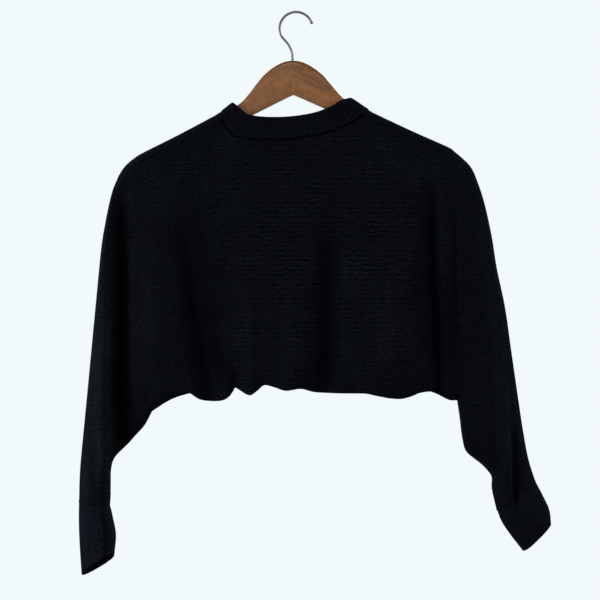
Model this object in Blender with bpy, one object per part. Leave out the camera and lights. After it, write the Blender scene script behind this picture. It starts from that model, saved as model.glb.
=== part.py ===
"""Cropped dolman-sleeve sweater hanging on a wooden hanger with a wire hook.

Frame: metres, +Z up, origin at the inside top of the hook, where the rail carries it.
The garment's back faces -Y and its front faces +Y; +X is to the right seen from the back.
All sizes and tables below are in millimetres.

Cloth is worked out on stations, numbered from the left cuff across the body to the right
cuff. At each station a section runs from the overarm, shoulder or neck edge down to the
underarm or hem edge, once for the back and once for the front. Folds push both out of plane.
"""
import math

import bmesh
import bpy
import numpy as np

MM = 0.001

# ---- cloth ------------------------------------------------------------------------------
WALL = 2.2               # knit fabric
BAND_WALL = 2.2          # neckband between its ribs
SEAM_GAP = 0.3
SHOULDER_CLEARANCE = 0.5  # between the wood and the cloth that lies on it
SHOULDER_HALF_DEPTH = 10.4
NECK_HALF_DEPTH = 16.0   # of the body below the middle of the neck
NECK_EASE = 0.4          # how much deeper the body is just below the neck seam
NECK_REACH = 120.0       # how far down the neck seam's own depth fades into the body's
HEM_HALF_DEPTH = 25.0
CORNER_HALF_DEPTH = 11.0  # at the hem corners, where the underarm seams start
NECK_LEFT = 92.0         # along the hanger, from its middle to each end of the neck seam
NECK_RIGHT = 95.5
HEM_LEFT = -187.2        # the two hem corners, and the hem below the two ends of the neck
HEM_RIGHT = 209.3
HEM_BELOW_NECK_LEFT = -81.4
HEM_BELOW_NECK_RIGHT = 93.8

SLEEVE_STEPS = 17        # stations from cuff seam to hem corner
SHOULDER_STEPS = 10
NECK_STEPS = 28
CAP_STEPS = 3            # rows over a rounded edge
SIDE_STEPS = 7           # rows down the rest of a section
CUFF_STEPS = 6
HEM_CAP = 30.0
CAP_SHARE = 0.36         # most of a section that one rounded edge takes
NECK_CAP = 4.0           # least height of the rounding below the neck seam
FADE_IN = 0.18           # parts of a fold's length over which it comes and goes
FADE_OUT = 0.12
NORMAL_PASSES = 3        # smoothing of the directions that the wall is thickened in
NECK_BLEND = 5           # stations beside the neck over which these directions change

# ---- neckband ribs ----------------------------------------------------------------------
RIB_COUNT = 120
RIB_HEIGHT = 0.8
BAND_BULGE = 0.6         # of the band's middle over its edges
BAND_COLUMNS = ("share", "bulge", "rib")
BAND_ROWS = (            # across the band from its seam to its top, as parts of 1
    (0.0, 0.0, 0.0),
    (0.12, 1.0, 1.0),
    (0.86, 1.0, 1.0),
    (1.0, 0.0, 0.4),
)

# ---- hanger -----------------------------------------------------------------------------
WOOD_TOP = (-4.7, -61.5)  # x, z of the wood's highest point, at the foot of the hook
WOOD_TILT = 1.37         # degrees, the right arm higher
WOOD_HALF_THICKNESS = 6.5
WOOD_EDGE_RADIUS = 5.5
ARM_LENGTH = 201.0
SHOULDER_END = 202.0     # along the arm, where the cloth leaves it
TIP_ROUND = 7.0          # length of an arm's rounded tip
TIP_SHARE = 0.35         # height of the tip's blunt end as a part of the arm's
JOINT_GAP = 0.3          # between the two glued arms
WIRE_RADIUS = 1.4
HOOK_RADIUS = 21.5       # of the wire's centre line
HOOK_START = 20.0        # degrees round the bend, from the open end to the swan neck
HOOK_END = 208.0
STEM_DEPTH = 18.0        # of the wire's bore in the wood

# ---- finishes: colour, roughness, metallic ------------------------------------------------
CLOTH = ((0.012, 0.013, 0.016), 0.95, 0.0)
WOOD = ((0.16, 0.06, 0.025), 0.35, 0.0)
STEEL = ((0.45, 0.46, 0.46), 0.3, 1.0)

# Swan neck between the bend and the stem.
HOOK_COLUMNS = ("x", "z")
HOOK_NECK = (
    (-11.6, -38.6),
    (-7.6, -45.4),
    (-5.2, -53.0),
    (-4.7, -60.0),
)

# Arm of the hanger: distance from the middle, heights below the wood's highest point.
ARM_COLUMNS = ("out", "upper", "lower")
ARM = (
    (0.0, 0.0, -42.5),
    (10.0, -1.3, -47.0),
    (19.5, -5.1, -51.5),
    (28.6, -10.7, -55.8),
    (39.0, -19.4, -60.7),
    (48.8, -31.0, -65.3),
    (59.8, -44.5, -70.5),
    (70.9, -55.0, -75.6),
    (91.7, -66.8, -85.2),
    (107.3, -75.2, -92.4),
    (149.5, -96.3, -111.8),
    (190.0, -115.4, -130.2),
    (203.0, -121.9, -136.0),
)

# Sleeves, from the hem corner outwards to the cuff seam: the overarm edge, the underarm
# edge, where the sleeve's middle lies in depth and how deep it is to each side.
SLEEVE_COLUMNS = ("over_x", "over_z", "under_x", "under_z", "middle_y", "half_depth")
LEFT_SLEEVE = (
    (-216.5, -193.0, -197.0, -534.0, 0.0, 11.0),
    (-223.0, -199.6, -208.5, -547.0, 0.0, 12.0),
    (-228.4, -207.6, -217.5, -557.0, -1.0, 12.5),
    (-233.0, -217.0, -224.5, -563.8, -1.0, 13.0),
    (-237.6, -228.6, -230.5, -569.6, -2.0, 13.5),
    (-242.0, -245.5, -235.0, -574.4, -2.0, 14.0),
    (-247.2, -272.0, -238.0, -580.0, -3.0, 15.0),
    (-252.4, -305.0, -239.6, -586.6, -4.0, 17.0),
    (-259.0, -372.2, -240.5, -594.6, -5.0, 20.0),
    (-266.4, -450.0, -240.5, -603.6, -6.0, 23.0),
    (-273.6, -525.0, -240.5, -613.6, -7.0, 26.0),
    (-279.4, -588.0, -240.5, -625.6, -8.0, 28.5),
    (-280.8, -632.2, -241.2, -636.1, -9.0, 30.0),
)
RIGHT_SLEEVE = (
    (224.9, -197.3, 212.6, -524.3, 0.0, 12.0),
    (235.3, -218.8, 214.5, -541.2, 0.0, 13.0),
    (244.4, -247.4, 216.5, -554.2, -1.0, 14.0),
    (253.5, -289.0, 219.1, -564.6, -2.0, 15.0),
    (260.0, -330.6, 223.6, -571.1, -3.0, 16.0),
    (269.1, -380.0, 230.8, -576.9, -4.0, 17.0),
    (276.9, -437.2, 239.2, -583.4, -5.0, 18.0),
    (285.4, -495.7, 247.7, -591.9, -6.0, 19.0),
    (292.5, -538.6, 253.5, -601.0, -7.0, 20.0),
    (300.3, -576.3, 257.4, -616.6, -8.0, 21.0),
    (309.4, -606.2, 263.3, -642.6, -9.0, 22.0),
)

# Cuffs, from the seam to the rim, in the sleeves' columns.
LEFT_CUFF = (
    (-280.8, -632.2, -241.2, -636.1, -9.0, 30.0),
    (-282.1, -658.2, -238.6, -653.0, -10.0, 31.5),
    (-281.5, -690.7, -235.3, -675.1, -11.0, 32.5),
    (-276.3, -725.8, -237.9, -699.8, -12.0, 31.0),
)
RIGHT_CUFF = (
    (309.4, -606.2, 263.3, -642.6, -9.0, 22.0),
    (319.8, -624.4, 269.1, -657.5, -12.0, 24.0),
    (328.9, -642.6, 280.8, -673.8, -15.0, 25.0),
    (331.5, -660.8, 297.7, -697.8, -18.0, 23.0),
)
LEFT_CUFF_RISE = 5.0     # how much higher the rim's near side lies than its middle
RIGHT_CUFF_RISE = -2.0

# Neck edge from the left end of the neck seam to the right end: the seam, and the top of
# the band above it. The two end rows lie on the shoulders and are worked out.
NECK_COLUMNS = ("seam_x", "seam_y", "seam_z", "top_x", "top_y", "top_z")
NECK_BACK = (
    (-94.2, -7.0, -129.5, -80.4, -7.0, -116.9),
    (-92.6, -9.8, -134.6, -78.0, -9.8, -118.9),
    (-91.0, -10.9, -142.0, -73.8, -10.9, -122.4),
    (-85.4, -12.2, -150.6, -68.2, -12.0, -127.2),
    (-72.8, -14.0, -159.0, -60.8, -13.6, -132.2),
    (-44.2, -15.6, -162.0, -39.0, -15.0, -135.2),
    (-7.8, -16.2, -161.4, -7.8, -15.6, -134.6),
    (28.6, -15.6, -155.6, 23.4, -15.0, -129.6),
    (57.2, -14.0, -146.4, 46.8, -13.6, -120.6),
    (70.8, -12.6, -139.2, 54.0, -12.4, -115.6),
    (80.6, -11.2, -133.6, 60.4, -11.2, -112.4),
    (87.6, -9.8, -130.6, 65.2, -9.8, -111.0),
    (91.2, -7.0, -126.5, 67.6, -7.0, -110.2),
)
NECK_FRONT = (
    (-94.2, 7.0, -129.6, -80.4, 7.0, -117.2),
    (-92.4, 9.8, -134.8, -78.0, 9.8, -119.6),
    (-90.2, 11.0, -142.8, -73.8, 11.0, -125.4),
    (-85.4, 13.2, -158.6, -68.2, 13.0, -137.2),
    (-71.0, 16.8, -181.0, -57.4, 16.2, -156.6),
    (-40.0, 19.6, -194.0, -32.6, 18.8, -168.4),
    (-3.0, 20.6, -198.0, -2.6, 19.8, -172.0),
    (34.0, 19.6, -193.0, 27.4, 18.8, -167.2),
    (64.0, 16.8, -177.0, 50.0, 16.2, -152.4),
    (80.8, 13.2, -155.6, 59.4, 13.0, -131.6),
    (86.6, 11.0, -140.4, 63.4, 11.0, -118.6),
    (88.8, 9.8, -132.0, 65.6, 9.8, -112.8),
    (91.2, 7.0, -126.6, 67.6, 7.0, -110.6),
)
NECK_TOP_LEFT = (-81.3, 0.0, -116.1)
NECK_TOP_RIGHT = (69.2, 0.0, -109.6)

# Hem edge, a row for each crest, hollow or side of a wave.
HEM_COLUMNS = ("x", "z")
HEM_BACK = (
    (-187.2, -516.5),
    (-165.0, -502.2),
    (-141.7, -493.7),
    (-124.0, -500.5),
    (-106.6, -502.8),
    (-92.0, -500.5),
    (-83.0, -493.0),
    (-78.7, -485.0),
    (-74.0, -487.5),
    (-60.0, -494.7),
    (-50.0, -489.0),
    (-41.0, -481.8),
    (-28.0, -484.5),
    (-13.0, -488.9),
    (6.5, -486.6),
    (26.0, -491.3),
    (60.0, -492.4),
    (96.0, -493.0),
    (115.7, -497.8),
    (135.0, -499.7),
    (150.8, -495.7),
    (166.4, -489.2),
    (182.0, -493.7),
    (197.0, -501.2),
    (209.3, -502.2),
)
HEM_FRONT = (
    (-187.2, -516.5),
    (-160.0, -504.0),
    (-125.0, -496.0),
    (-95.0, -499.0),
    (-60.0, -490.5),
    (-25.0, -486.5),
    (10.0, -489.0),
    (45.0, -485.5),
    (80.0, -492.0),
    (108.0, -501.0),
    (130.0, -504.5),
    (155.0, -498.0),
    (180.0, -492.0),
    (209.3, -502.2),
)

# Folds: which layer they are in, the line they follow from top to bottom, their half width
# and how far they push the cloth towards +Y.
FOLD_COLUMNS = ("layer", "x_top", "x_middle", "x_low", "z_top", "z_low",
                "width_top", "width_low", "push_top", "push_low")
FOLDS = (
    ("both", -226.0, -225.0, -219.0, -196.0, -600.0, 17.0, 25.0, 7.0, 27.0),
    ("both", -240.0, -251.0, -254.0, -215.0, -640.0, 17.0, 26.0, -2.0, -9.0),
    ("both", -190.0, -188.0, -184.0, -250.0, -540.0, 20.0, 28.0, -3.0, -9.0),
    ("back", -144.0, -134.0, -112.0, -270.0, -530.0, 11.0, 19.0, 3.0, 14.0),
    ("back", -79.0, -79.0, -79.0, -440.0, -530.0, 6.0, 10.0, 1.0, 8.0),
    ("back", -58.0, -58.0, -60.0, -360.0, -530.0, 12.0, 15.0, -1.0, -6.0),
    ("back", -10.0, -10.0, -12.0, -300.0, -530.0, 22.0, 26.0, -1.0, -5.0),
    ("back", 40.0, 36.0, 31.0, -260.0, -530.0, 19.0, 25.0, 3.0, 13.0),
    ("back", 98.0, 100.0, 104.0, -280.0, -530.0, 34.0, 38.0, -2.0, -6.0),
    ("back", 176.0, 179.0, 184.0, -205.0, -530.0, 10.0, 16.0, 6.0, 14.0),
    ("back", 203.0, 205.0, 207.0, -250.0, -450.0, 7.0, 9.0, 5.0, 4.0),
    ("back", 234.0, 262.0, 275.0, -235.0, -632.0, 15.0, 14.0, -5.0, -12.0),
    ("back", 276.0, 281.0, 288.0, -440.0, -632.0, 9.0, 10.0, 1.0, 8.0),
    ("front", -130.0, -122.0, -108.0, -260.0, -530.0, 13.0, 22.0, -3.0, -12.0),
    ("front", -64.0, -60.0, -56.0, -330.0, -530.0, 20.0, 26.0, 2.0, 7.0),
    ("front", -10.0, -8.0, -4.0, -280.0, -530.0, 16.0, 22.0, -3.0, -11.0),
    ("front", 56.0, 60.0, 66.0, -300.0, -530.0, 26.0, 32.0, 2.0, 8.0),
    ("front", 126.0, 124.0, 120.0, -250.0, -530.0, 14.0, 20.0, -4.0, -12.0),
    ("front", 186.0, 188.0, 190.0, -230.0, -540.0, 13.0, 18.0, -5.0, -12.0),
    ("front", 240.0, 262.0, 274.0, -260.0, -650.0, 13.0, 14.0, 3.0, 9.0),
)


# ---- curves -----------------------------------------------------------------------------
def read_rows(rows, places):
    """Smooth curve through table rows, read at fractional row numbers."""
    rows = np.asarray(rows, float)
    places = np.asarray(places, float)
    first = np.clip(places.astype(int), 0, len(rows) - 2)
    part = (places - first)[:, None]
    ends = np.vstack([2 * rows[0] - rows[1], rows, 2 * rows[-1] - rows[-2]])
    a, b, c, d = (ends[first + shift] for shift in range(4))
    return 0.5 * (2 * b + (c - a) * part + (2 * a - 5 * b + 4 * c - d) * part ** 2
                  + (3 * b - a - 3 * c + d) * part ** 3)


def read_table(rows, columns, places):
    """Smooth columns of a table by their names, read at fractional row numbers."""
    return dict(zip(columns, read_rows(rows, places).T))


def read_at(rows, columns, where):
    """Columns of a table by their names, read at values of its first column."""
    dense = read_table(rows, columns, np.linspace(0, len(rows) - 1, 12 * len(rows)))
    return {name: np.interp(where, dense[columns[0]], dense[name]) for name in columns}


def edge_points(row, x, y, z):
    """Points from three named columns."""
    return np.stack([row[x], row[y], row[z]], axis=-1)


def ease(value):
    """0 to 1 with level ends."""
    value = np.clip(value, 0.0, 1.0)
    return value * value * (3 - 2 * value)


def unit(vectors):
    return vectors / np.linalg.norm(vectors, axis=-1, keepdims=True)


# ---- hanger shape -----------------------------------------------------------------------
def turn_wood(out, down, side):
    """A point of one arm, from the middle and the wood's top to x and z in the frame."""
    tilt = math.radians(WOOD_TILT)
    across = side * np.asarray(out, float)
    down = np.asarray(down, float)
    return (WOOD_TOP[0] + across * math.cos(tilt) - down * math.sin(tilt),
            WOOD_TOP[1] + across * math.sin(tilt) + down * math.cos(tilt))


def shoulder_edge(out, side):
    """Overarm edge where the cloth lies along the top of one arm."""
    lift = WALL + SHOULDER_CLEARANCE
    step = 2.0
    before, upper, after = (read_at(ARM, ARM_COLUMNS, out + shift)["upper"]
                            for shift in (-step, 0.0, step))
    slope = np.arctan2(after - before, 2 * step)
    return turn_wood(out - lift * np.sin(slope), upper + lift * np.cos(slope), side)


# ---- stations ---------------------------------------------------------------------------
def make_stations():
    """Edges and depths of every station, from the left cuff seam to the right one."""
    stations = {key: [] for key in ("over_back", "over_front", "under_back", "under_front",
                                    "start_z", "middle", "depth_top", "depth_low", "open_low")}

    def add(*values):
        for key, value in zip(stations, values):
            stations[key].append(np.asarray(value, float))

    def add_sleeve(table, side, corner):
        tip_x, tip_z = shoulder_edge(np.array([SHOULDER_END]), side)
        first = (tip_x[0], tip_z[0], corner[0], corner[1], 0.0, CORNER_HALF_DEPTH)
        places = np.linspace(0, len(table), SLEEVE_STEPS + 1)[::side]
        row = read_table((first,) + table, SLEEVE_COLUMNS, places)
        over = edge_points(row, "over_x", "middle_y", "over_z")
        under = edge_points(row, "under_x", "middle_y", "under_z")
        add(over, over, under, under, row["over_z"], row["middle_y"], row["half_depth"],
            row["half_depth"], np.zeros(len(over)))

    def add_body(over_back, over_front, hem_x, start_z, depth_top):
        place = 2 * (hem_x - HEM_LEFT) / (HEM_RIGHT - HEM_LEFT) - 1
        swell = np.sqrt(np.clip(1 - place ** 4, 0.0, 1.0))
        open_low = HEM_HALF_DEPTH * swell
        depth_low = CORNER_HALF_DEPTH + (HEM_HALF_DEPTH - CORNER_HALF_DEPTH) * swell
        flat = np.zeros(len(hem_x))
        hem = [np.stack([hem_x, flat, read_at(rows, HEM_COLUMNS, hem_x)["z"]], axis=-1)
               for rows in (HEM_BACK, HEM_FRONT)]
        add(over_back, over_front, hem[0], hem[1], start_z, flat, depth_top, depth_low,
            open_low)

    def shoulder(side, near, hem_near, hem_far):
        out = np.linspace(SHOULDER_END, near, SHOULDER_STEPS + 1)[1:]
        hem_x = np.linspace(hem_far, hem_near, SHOULDER_STEPS + 1)[1:]
        x, z = shoulder_edge(out, side)
        return np.stack([x, np.zeros(len(x)), z], axis=-1), hem_x

    add_sleeve(LEFT_SLEEVE, -1, HEM_BACK[0])
    over, hem_x = shoulder(-1, NECK_LEFT, HEM_BELOW_NECK_LEFT, HEM_LEFT)
    add_body(over, over, hem_x, over[:, 2], np.full(len(hem_x), SHOULDER_HALF_DEPTH))
    ends = [shoulder_edge(np.array([near]), side)
            for near, side in ((NECK_LEFT, -1), (NECK_RIGHT, 1))]
    ends = [(x[0], 0.0, z[0]) for x, z in ends]
    places = np.linspace(1, len(NECK_BACK) + 2, NECK_STEPS + 1)
    seams = []
    tops = []
    for table, other in ((NECK_BACK, NECK_FRONT), (NECK_FRONT, NECK_BACK)):
        rows = (other[0], ends[0] + NECK_TOP_LEFT) + table \
            + (ends[1] + NECK_TOP_RIGHT, other[-1])
        row = read_table(rows, NECK_COLUMNS, places)
        seams.append(edge_points(row, "seam_x", "seam_y", "seam_z"))
        tops.append(edge_points(row, "top_x", "top_y", "top_z"))
    hem_x = np.linspace(HEM_BELOW_NECK_LEFT, HEM_BELOW_NECK_RIGHT, NECK_STEPS + 1)
    start_z = np.linspace(ends[0][2], ends[1][2], NECK_STEPS + 1)
    across = np.interp(seams[0][:, 0], [ends[0][0], ends[1][0]], [-math.pi, math.pi])
    depth_top = SHOULDER_HALF_DEPTH \
        + (NECK_HALF_DEPTH - SHOULDER_HALF_DEPTH) * 0.5 * (1 + np.cos(across))
    add_body(seams[0][1:-1], seams[1][1:-1], hem_x[1:-1], start_z[1:-1], depth_top[1:-1])
    over, hem_x = shoulder(1, NECK_RIGHT, HEM_BELOW_NECK_RIGHT, HEM_RIGHT)
    add_body(over[::-1], over[::-1], hem_x[::-1], over[::-1, 2],
             np.full(len(hem_x), SHOULDER_HALF_DEPTH))
    add_sleeve(RIGHT_SLEEVE, 1, HEM_BACK[-1])
    neck = slice(SLEEVE_STEPS + SHOULDER_STEPS, SLEEVE_STEPS + SHOULDER_STEPS + NECK_STEPS + 1)
    return {key: np.concatenate(value) for key, value in stations.items()}, neck, tops


def fold_push(layer, x, z):
    """How far the folds of a layer, or of both, push it towards +Y at a place."""
    push = np.zeros(np.shape(x))
    for row in FOLDS:
        fold = dict(zip(FOLD_COLUMNS, row))
        if fold["layer"] != layer:
            continue
        along = (fold["z_top"] - z) / (fold["z_top"] - fold["z_low"])
        down = np.clip(along, 0.0, 1.0)
        bend = 4 * fold["x_middle"] - 2 * fold["x_top"] - 2 * fold["x_low"]
        centre = fold["x_top"] + (fold["x_low"] - fold["x_top"]) * down \
            + bend * down * (1 - down)
        width = fold["width_top"] + (fold["width_low"] - fold["width_top"]) * down
        depth = fold["push_top"] + (fold["push_low"] - fold["push_top"]) * down
        across = np.clip(np.abs(x - centre) / width, 0.0, 1.0)
        fade = ease(along / FADE_IN) * ease((1.0 - along) / FADE_OUT)
        push += depth * fade * 0.5 * (1 + np.cos(math.pi * across))
    return push


def section_rows(over, under, start_z, middle, depth_top, depth_low, open_low, layer):
    """One layer of every station: stations by rows, from the top edge to the low edge."""
    sign = -1.0 if layer == "back" else 1.0
    length = np.linalg.norm((under - over)[:, (0, 2)], axis=-1)
    open_top = np.abs(over[:, 1] - middle)
    limit = CAP_SHARE * length
    over_wood = np.sqrt(np.clip(SHOULDER_HALF_DEPTH ** 2 - open_top ** 2, NECK_CAP ** 2, None))
    cap_top = np.minimum(np.where(open_top > 0, over_wood, depth_top), limit)
    cap_low = np.minimum(np.maximum(HEM_CAP * open_low / HEM_HALF_DEPTH, depth_low), limit)
    proud = np.where(open_top > 0, np.maximum(open_top + NECK_EASE - depth_top, 0.0), 0.0)
    turn = np.linspace(0, math.pi / 2, CAP_STEPS + 1)
    side = np.linspace(0, 1, SIDE_STEPS + 1)[1:-1]
    places = np.concatenate([
        cap_top[:, None] * (1 - np.cos(turn))[None, :],
        cap_top[:, None] + (length - cap_top - cap_low)[:, None] * side[None, :],
        length[:, None] - cap_low[:, None] * (1 - np.cos(turn))[None, ::-1],
    ], axis=1)
    share = places / length[:, None]
    x = over[:, None, 0] + (under - over)[:, None, 0] * share
    z = over[:, None, 2] + (under - over)[:, None, 2] * share
    fallen = (start_z[:, None] - z) / (start_z - under[:, 2])[:, None]
    depth = depth_top[:, None] + (depth_low - depth_top)[:, None] * ease(fallen) \
        + proud[:, None] * ease(1 - places / NECK_REACH)
    own_folds = np.ones(places.shape)
    for cap, open_end, reach in ((cap_top, open_top, places),
                                 (cap_low, open_low, length[:, None] - places)):
        near = np.clip(1 - reach / cap[:, None], 0.0, 1.0)
        square = open_end[:, None] ** 2 + (depth ** 2 - open_end[:, None] ** 2) * (1 - near ** 2)
        depth = np.sqrt(np.clip(square, 0.0, None))
        own_folds *= np.where(open_end[:, None] > 0, 1.0, 1 - near ** 2)
    y = middle[:, None] + sign * depth + fold_push("both", x, z) \
        + own_folds * fold_push(layer, x, z)
    return np.stack([x, y, z], axis=-1)


def relax(normals):
    """Normals of a grid, evened out between neighbours so that a thick wall stays whole."""
    for axis in NORMAL_PASSES * (0, 1):
        ends = [np.take(normals, [end], axis=axis) for end in (0, -1)]
        wide = np.concatenate([ends[0], normals, ends[1]], axis=axis)
        count = normals.shape[axis]
        before, after = (np.take(wide, np.arange(count) + shift, axis=axis) for shift in (0, 2))
        normals = unit(before + 2 * normals + after)
    return normals


def layer_normals(grid, neck, layer):
    """Outward normals of a layer. Below the neck its close sections keep to their planes."""
    sign = -1.0 if layer == "back" else 1.0
    along = np.gradient(grid, axis=1)
    normals = unit(np.cross(np.gradient(grid, axis=0), along))
    normals *= sign * np.sign(normals[..., 1].mean())
    down = unit((grid[:, -1:] - grid[:, :1]) * np.array([1.0, 0.0, 1.0]))
    falling = np.sum(along * down, axis=-1, keepdims=True)
    in_plane = sign * unit(falling * np.array([0.0, 1.0, 0.0]) - along[..., 1:2] * down)
    numbers = np.arange(len(grid))
    outside = np.maximum(neck.start - numbers, numbers - neck.stop + 1)
    share = ease(1 - outside / NECK_BLEND)[:, None, None]
    return relax(unit(normals + (in_plane - normals) * share))


def make_panels():
    """Outer points and normals of back and front, with shared normals at their seams."""
    stations, neck, tops = make_stations()
    shared = [stations[key] for key in ("start_z", "middle", "depth_top", "depth_low",
                                        "open_low")]
    back = section_rows(stations["over_back"], stations["under_back"], *shared, "back")
    front = section_rows(stations["over_front"], stations["under_front"], *shared, "front")
    back_normals = layer_normals(back, neck, "back")
    front_normals = layer_normals(front, neck, "front")
    numbers = np.arange(len(back))
    top_seam = (numbers <= neck.start) | (numbers >= neck.stop - 1)
    low_seam = (numbers <= SLEEVE_STEPS) | (numbers >= len(back) - 1 - SLEEVE_STEPS)
    for seam, row, step in ((top_seam, 0, 1), (low_seam, -1, -1)):
        mean = unit(back_normals[seam, row] + front_normals[seam, row])
        for grid, normals in ((back, back_normals), (front, front_normals)):
            normals[seam, row] = mean
            inward = unit(grid[seam, row + step] - grid[seam, row])
            grid[seam, row] += 0.5 * SEAM_GAP * inward
    return back, back_normals, front, front_normals, neck, tops


# ---- meshes -----------------------------------------------------------------------------
def new_object(name, vertices, faces, material):
    mesh = bpy.data.meshes.new(name)
    mesh.from_pydata([tuple(MM * value for value in point) for point in vertices], [], faces)
    bm = bmesh.new()
    bm.from_mesh(mesh)
    bmesh.ops.recalc_face_normals(bm, faces=bm.faces)
    bm.to_mesh(mesh)
    bm.free()
    mesh.shade_smooth()
    mesh.set_sharp_from_angle(angle=math.radians(50))
    obj = bpy.data.objects.new(name, mesh)
    obj.data.materials.append(material)
    parts.objects.link(obj)
    return obj


def add_wall(name, outer, inner, material, ring=False):
    """Closed wall between two grids of points; `ring` joins the last row to the first.

    Each quad is split along the shorter diagonal of its outer face, on both sides alike.
    """
    rows, columns = outer.shape[:2]
    vertices = np.concatenate([outer.reshape(-1, 3), inner.reshape(-1, 3)])
    shift = rows * columns

    def at(row, column, layer=0):
        return layer * shift + (row % rows) * columns + column

    faces = []
    last = rows if ring else rows - 1
    for row in range(last):
        after = (row + 1) % rows
        for column in range(columns - 1):
            one = np.linalg.norm(outer[after, column + 1] - outer[row, column])
            other = np.linalg.norm(outer[after, column] - outer[row, column + 1])
            for layer in (0, 1):
                face = [at(row, column, layer), at(row + 1, column, layer),
                        at(row + 1, column + 1, layer), at(row, column + 1, layer)]
                if one > other:
                    face = face[1:] + face[:1]
                halves = [face[:3], face[2:] + face[:1]]
                faces += [half[::-1] for half in halves] if layer else halves
        for column in (0, columns - 1):
            face = [at(row, column), at(row, column, 1), at(row + 1, column, 1),
                    at(row + 1, column)]
            faces.append(face[::-1] if column else face)
    if not ring:
        for row in (0, rows - 1):
            for column in range(columns - 1):
                face = [at(row, column), at(row, column + 1), at(row, column + 1, 1),
                        at(row, column, 1)]
                faces.append(face[::-1] if row else face)
    return new_object(name, vertices, faces, material)


def add_loft(name, rings, material):
    """Solid through closed rings of points, with flat ends."""
    count = len(rings[0])
    vertices = [point for ring in rings for point in ring]
    faces = []
    for row in range(len(rings) - 1):
        for column in range(count):
            after = (column + 1) % count
            faces.append([row * count + column, row * count + after,
                          (row + 1) * count + after, (row + 1) * count + column])
    faces.append(list(range(count))[::-1])
    faces.append([(len(rings) - 1) * count + column for column in range(count)])
    return new_object(name, vertices, faces, material)


def new_material(name, finish):
    colour, roughness, metallic = finish
    material = bpy.data.materials.new(name)
    material.use_nodes = True
    shader = material.node_tree.nodes["Principled BSDF"]
    shader.inputs["Base Color"].default_value = (*colour, 1.0)
    shader.inputs["Roughness"].default_value = roughness
    shader.inputs["Metallic"].default_value = metallic
    return material


# ---- pieces -----------------------------------------------------------------------------
def add_panels():
    """Back and front, each cut in one with its half of both sleeves."""
    back, back_normals, front, front_normals, neck, tops = make_panels()
    for name, outer, normals in (("back_panel", back, back_normals),
                                 ("front_panel", front, front_normals)):
        add_wall(name, outer, outer - WALL * normals, new_material(name, CLOTH))
    return back, back_normals, front, front_normals, neck, tops


def add_neckband(panels):
    """Ribbed band on the neck edge: plain inside, ribs raised outside."""
    back, back_normals, front, front_normals, neck, tops = panels
    seam = np.concatenate([back[neck, 0], front[neck, 0][-2:0:-1]])
    seam_normals = np.concatenate([back_normals[neck, 0], front_normals[neck, 0][-2:0:-1]])
    top = np.concatenate([tops[0], tops[1][-2:0:-1]])
    count = len(seam)
    closed = np.arange(count + 1) % count
    middle = 0.5 * (seam + top)[closed]
    lengths = np.linalg.norm(np.diff(middle, axis=0), axis=1)
    travelled = np.concatenate([[0.0], np.cumsum(lengths)])
    steps = np.arange(2 * RIB_COUNT) / (2 * RIB_COUNT)
    around = np.interp(steps * travelled[-1], travelled, np.arange(count + 1))

    def read_ring(values):
        return np.stack([np.interp(around, np.arange(count + 1), values[closed, axis])
                         for axis in range(3)], axis=-1)

    low = read_ring(seam)
    high = read_ring(top)
    up = unit(high - low)
    normals = unit(read_ring(seam_normals))
    tangent = unit(np.roll(high, -1, axis=0) - np.roll(high, 1, axis=0))
    high_normals = unit(np.cross(tangent, up))
    high_normals *= np.sign(np.sum(high_normals * normals, axis=-1, keepdims=True))
    low = low + SEAM_GAP * up
    ridge = RIB_HEIGHT * (np.arange(2 * RIB_COUNT) % 2)[:, None]
    outer = []
    inner = []
    for share, bulge, rib in BAND_ROWS:
        normal = unit(normals + (high_normals - normals) * share)
        point = low + (high - low) * share
        outer.append(point + normal * (bulge * BAND_BULGE + rib * ridge))
        inner.append(point - normal * BAND_WALL)
    add_wall("neckband", np.stack(outer, axis=1), np.stack(inner, axis=1),
             new_material("neckband", CLOTH), ring=True)


def add_cuff(name, table, panels, end, rise):
    """Tube on the end of a sleeve, from its seam to its tilted rim."""
    back, back_normals, front, front_normals = panels[:4]
    row = read_table(table, SLEEVE_COLUMNS, np.linspace(0, len(table) - 1, CUFF_STEPS + 1))
    over = edge_points(row, "over_x", "middle_y", "over_z")
    under = edge_points(row, "under_x", "middle_y", "under_z")
    depth = row["half_depth"]
    layers = [section_rows(over, under, row["over_z"], row["middle_y"], depth, depth,
                           np.zeros(len(over)), layer) for layer in ("back", "front")]
    outer = np.concatenate([layers[0], layers[1][:, -2:0:-1]], axis=1)
    end_ring = np.concatenate([back[end], front[end][-2:0:-1]])
    before = end + 1 if end == 0 else end - 1
    ring_before = np.concatenate([back[before], front[before][-2:0:-1]])
    outer[0] = end_ring + SEAM_GAP * unit(end_ring - ring_before)
    outer = outer.transpose(1, 0, 2)
    growth = np.linspace(0, 1, CUFF_STEPS + 1)[None, :, None]
    centre = outer.mean(axis=0, keepdims=True)
    near = (centre[..., 1:2] - outer[..., 1:2]) / depth.max()
    outer = outer + growth * rise * near * np.array([0.0, 0.0, 1.0])
    wrapped = np.concatenate([outer[-1:], outer, outer[:1]])
    normals = unit(np.cross(np.gradient(wrapped, axis=0), np.gradient(wrapped, axis=1)))[1:-1]
    if np.sum(normals * (outer - centre), axis=-1).mean() < 0:
        normals = -normals
    end_normals = np.concatenate([back_normals[end], front_normals[end][-2:0:-1]])
    normals[:, 0] = end_normals
    add_wall(name, outer, outer - WALL * normals, new_material(name, CLOTH), ring=True)


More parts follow.
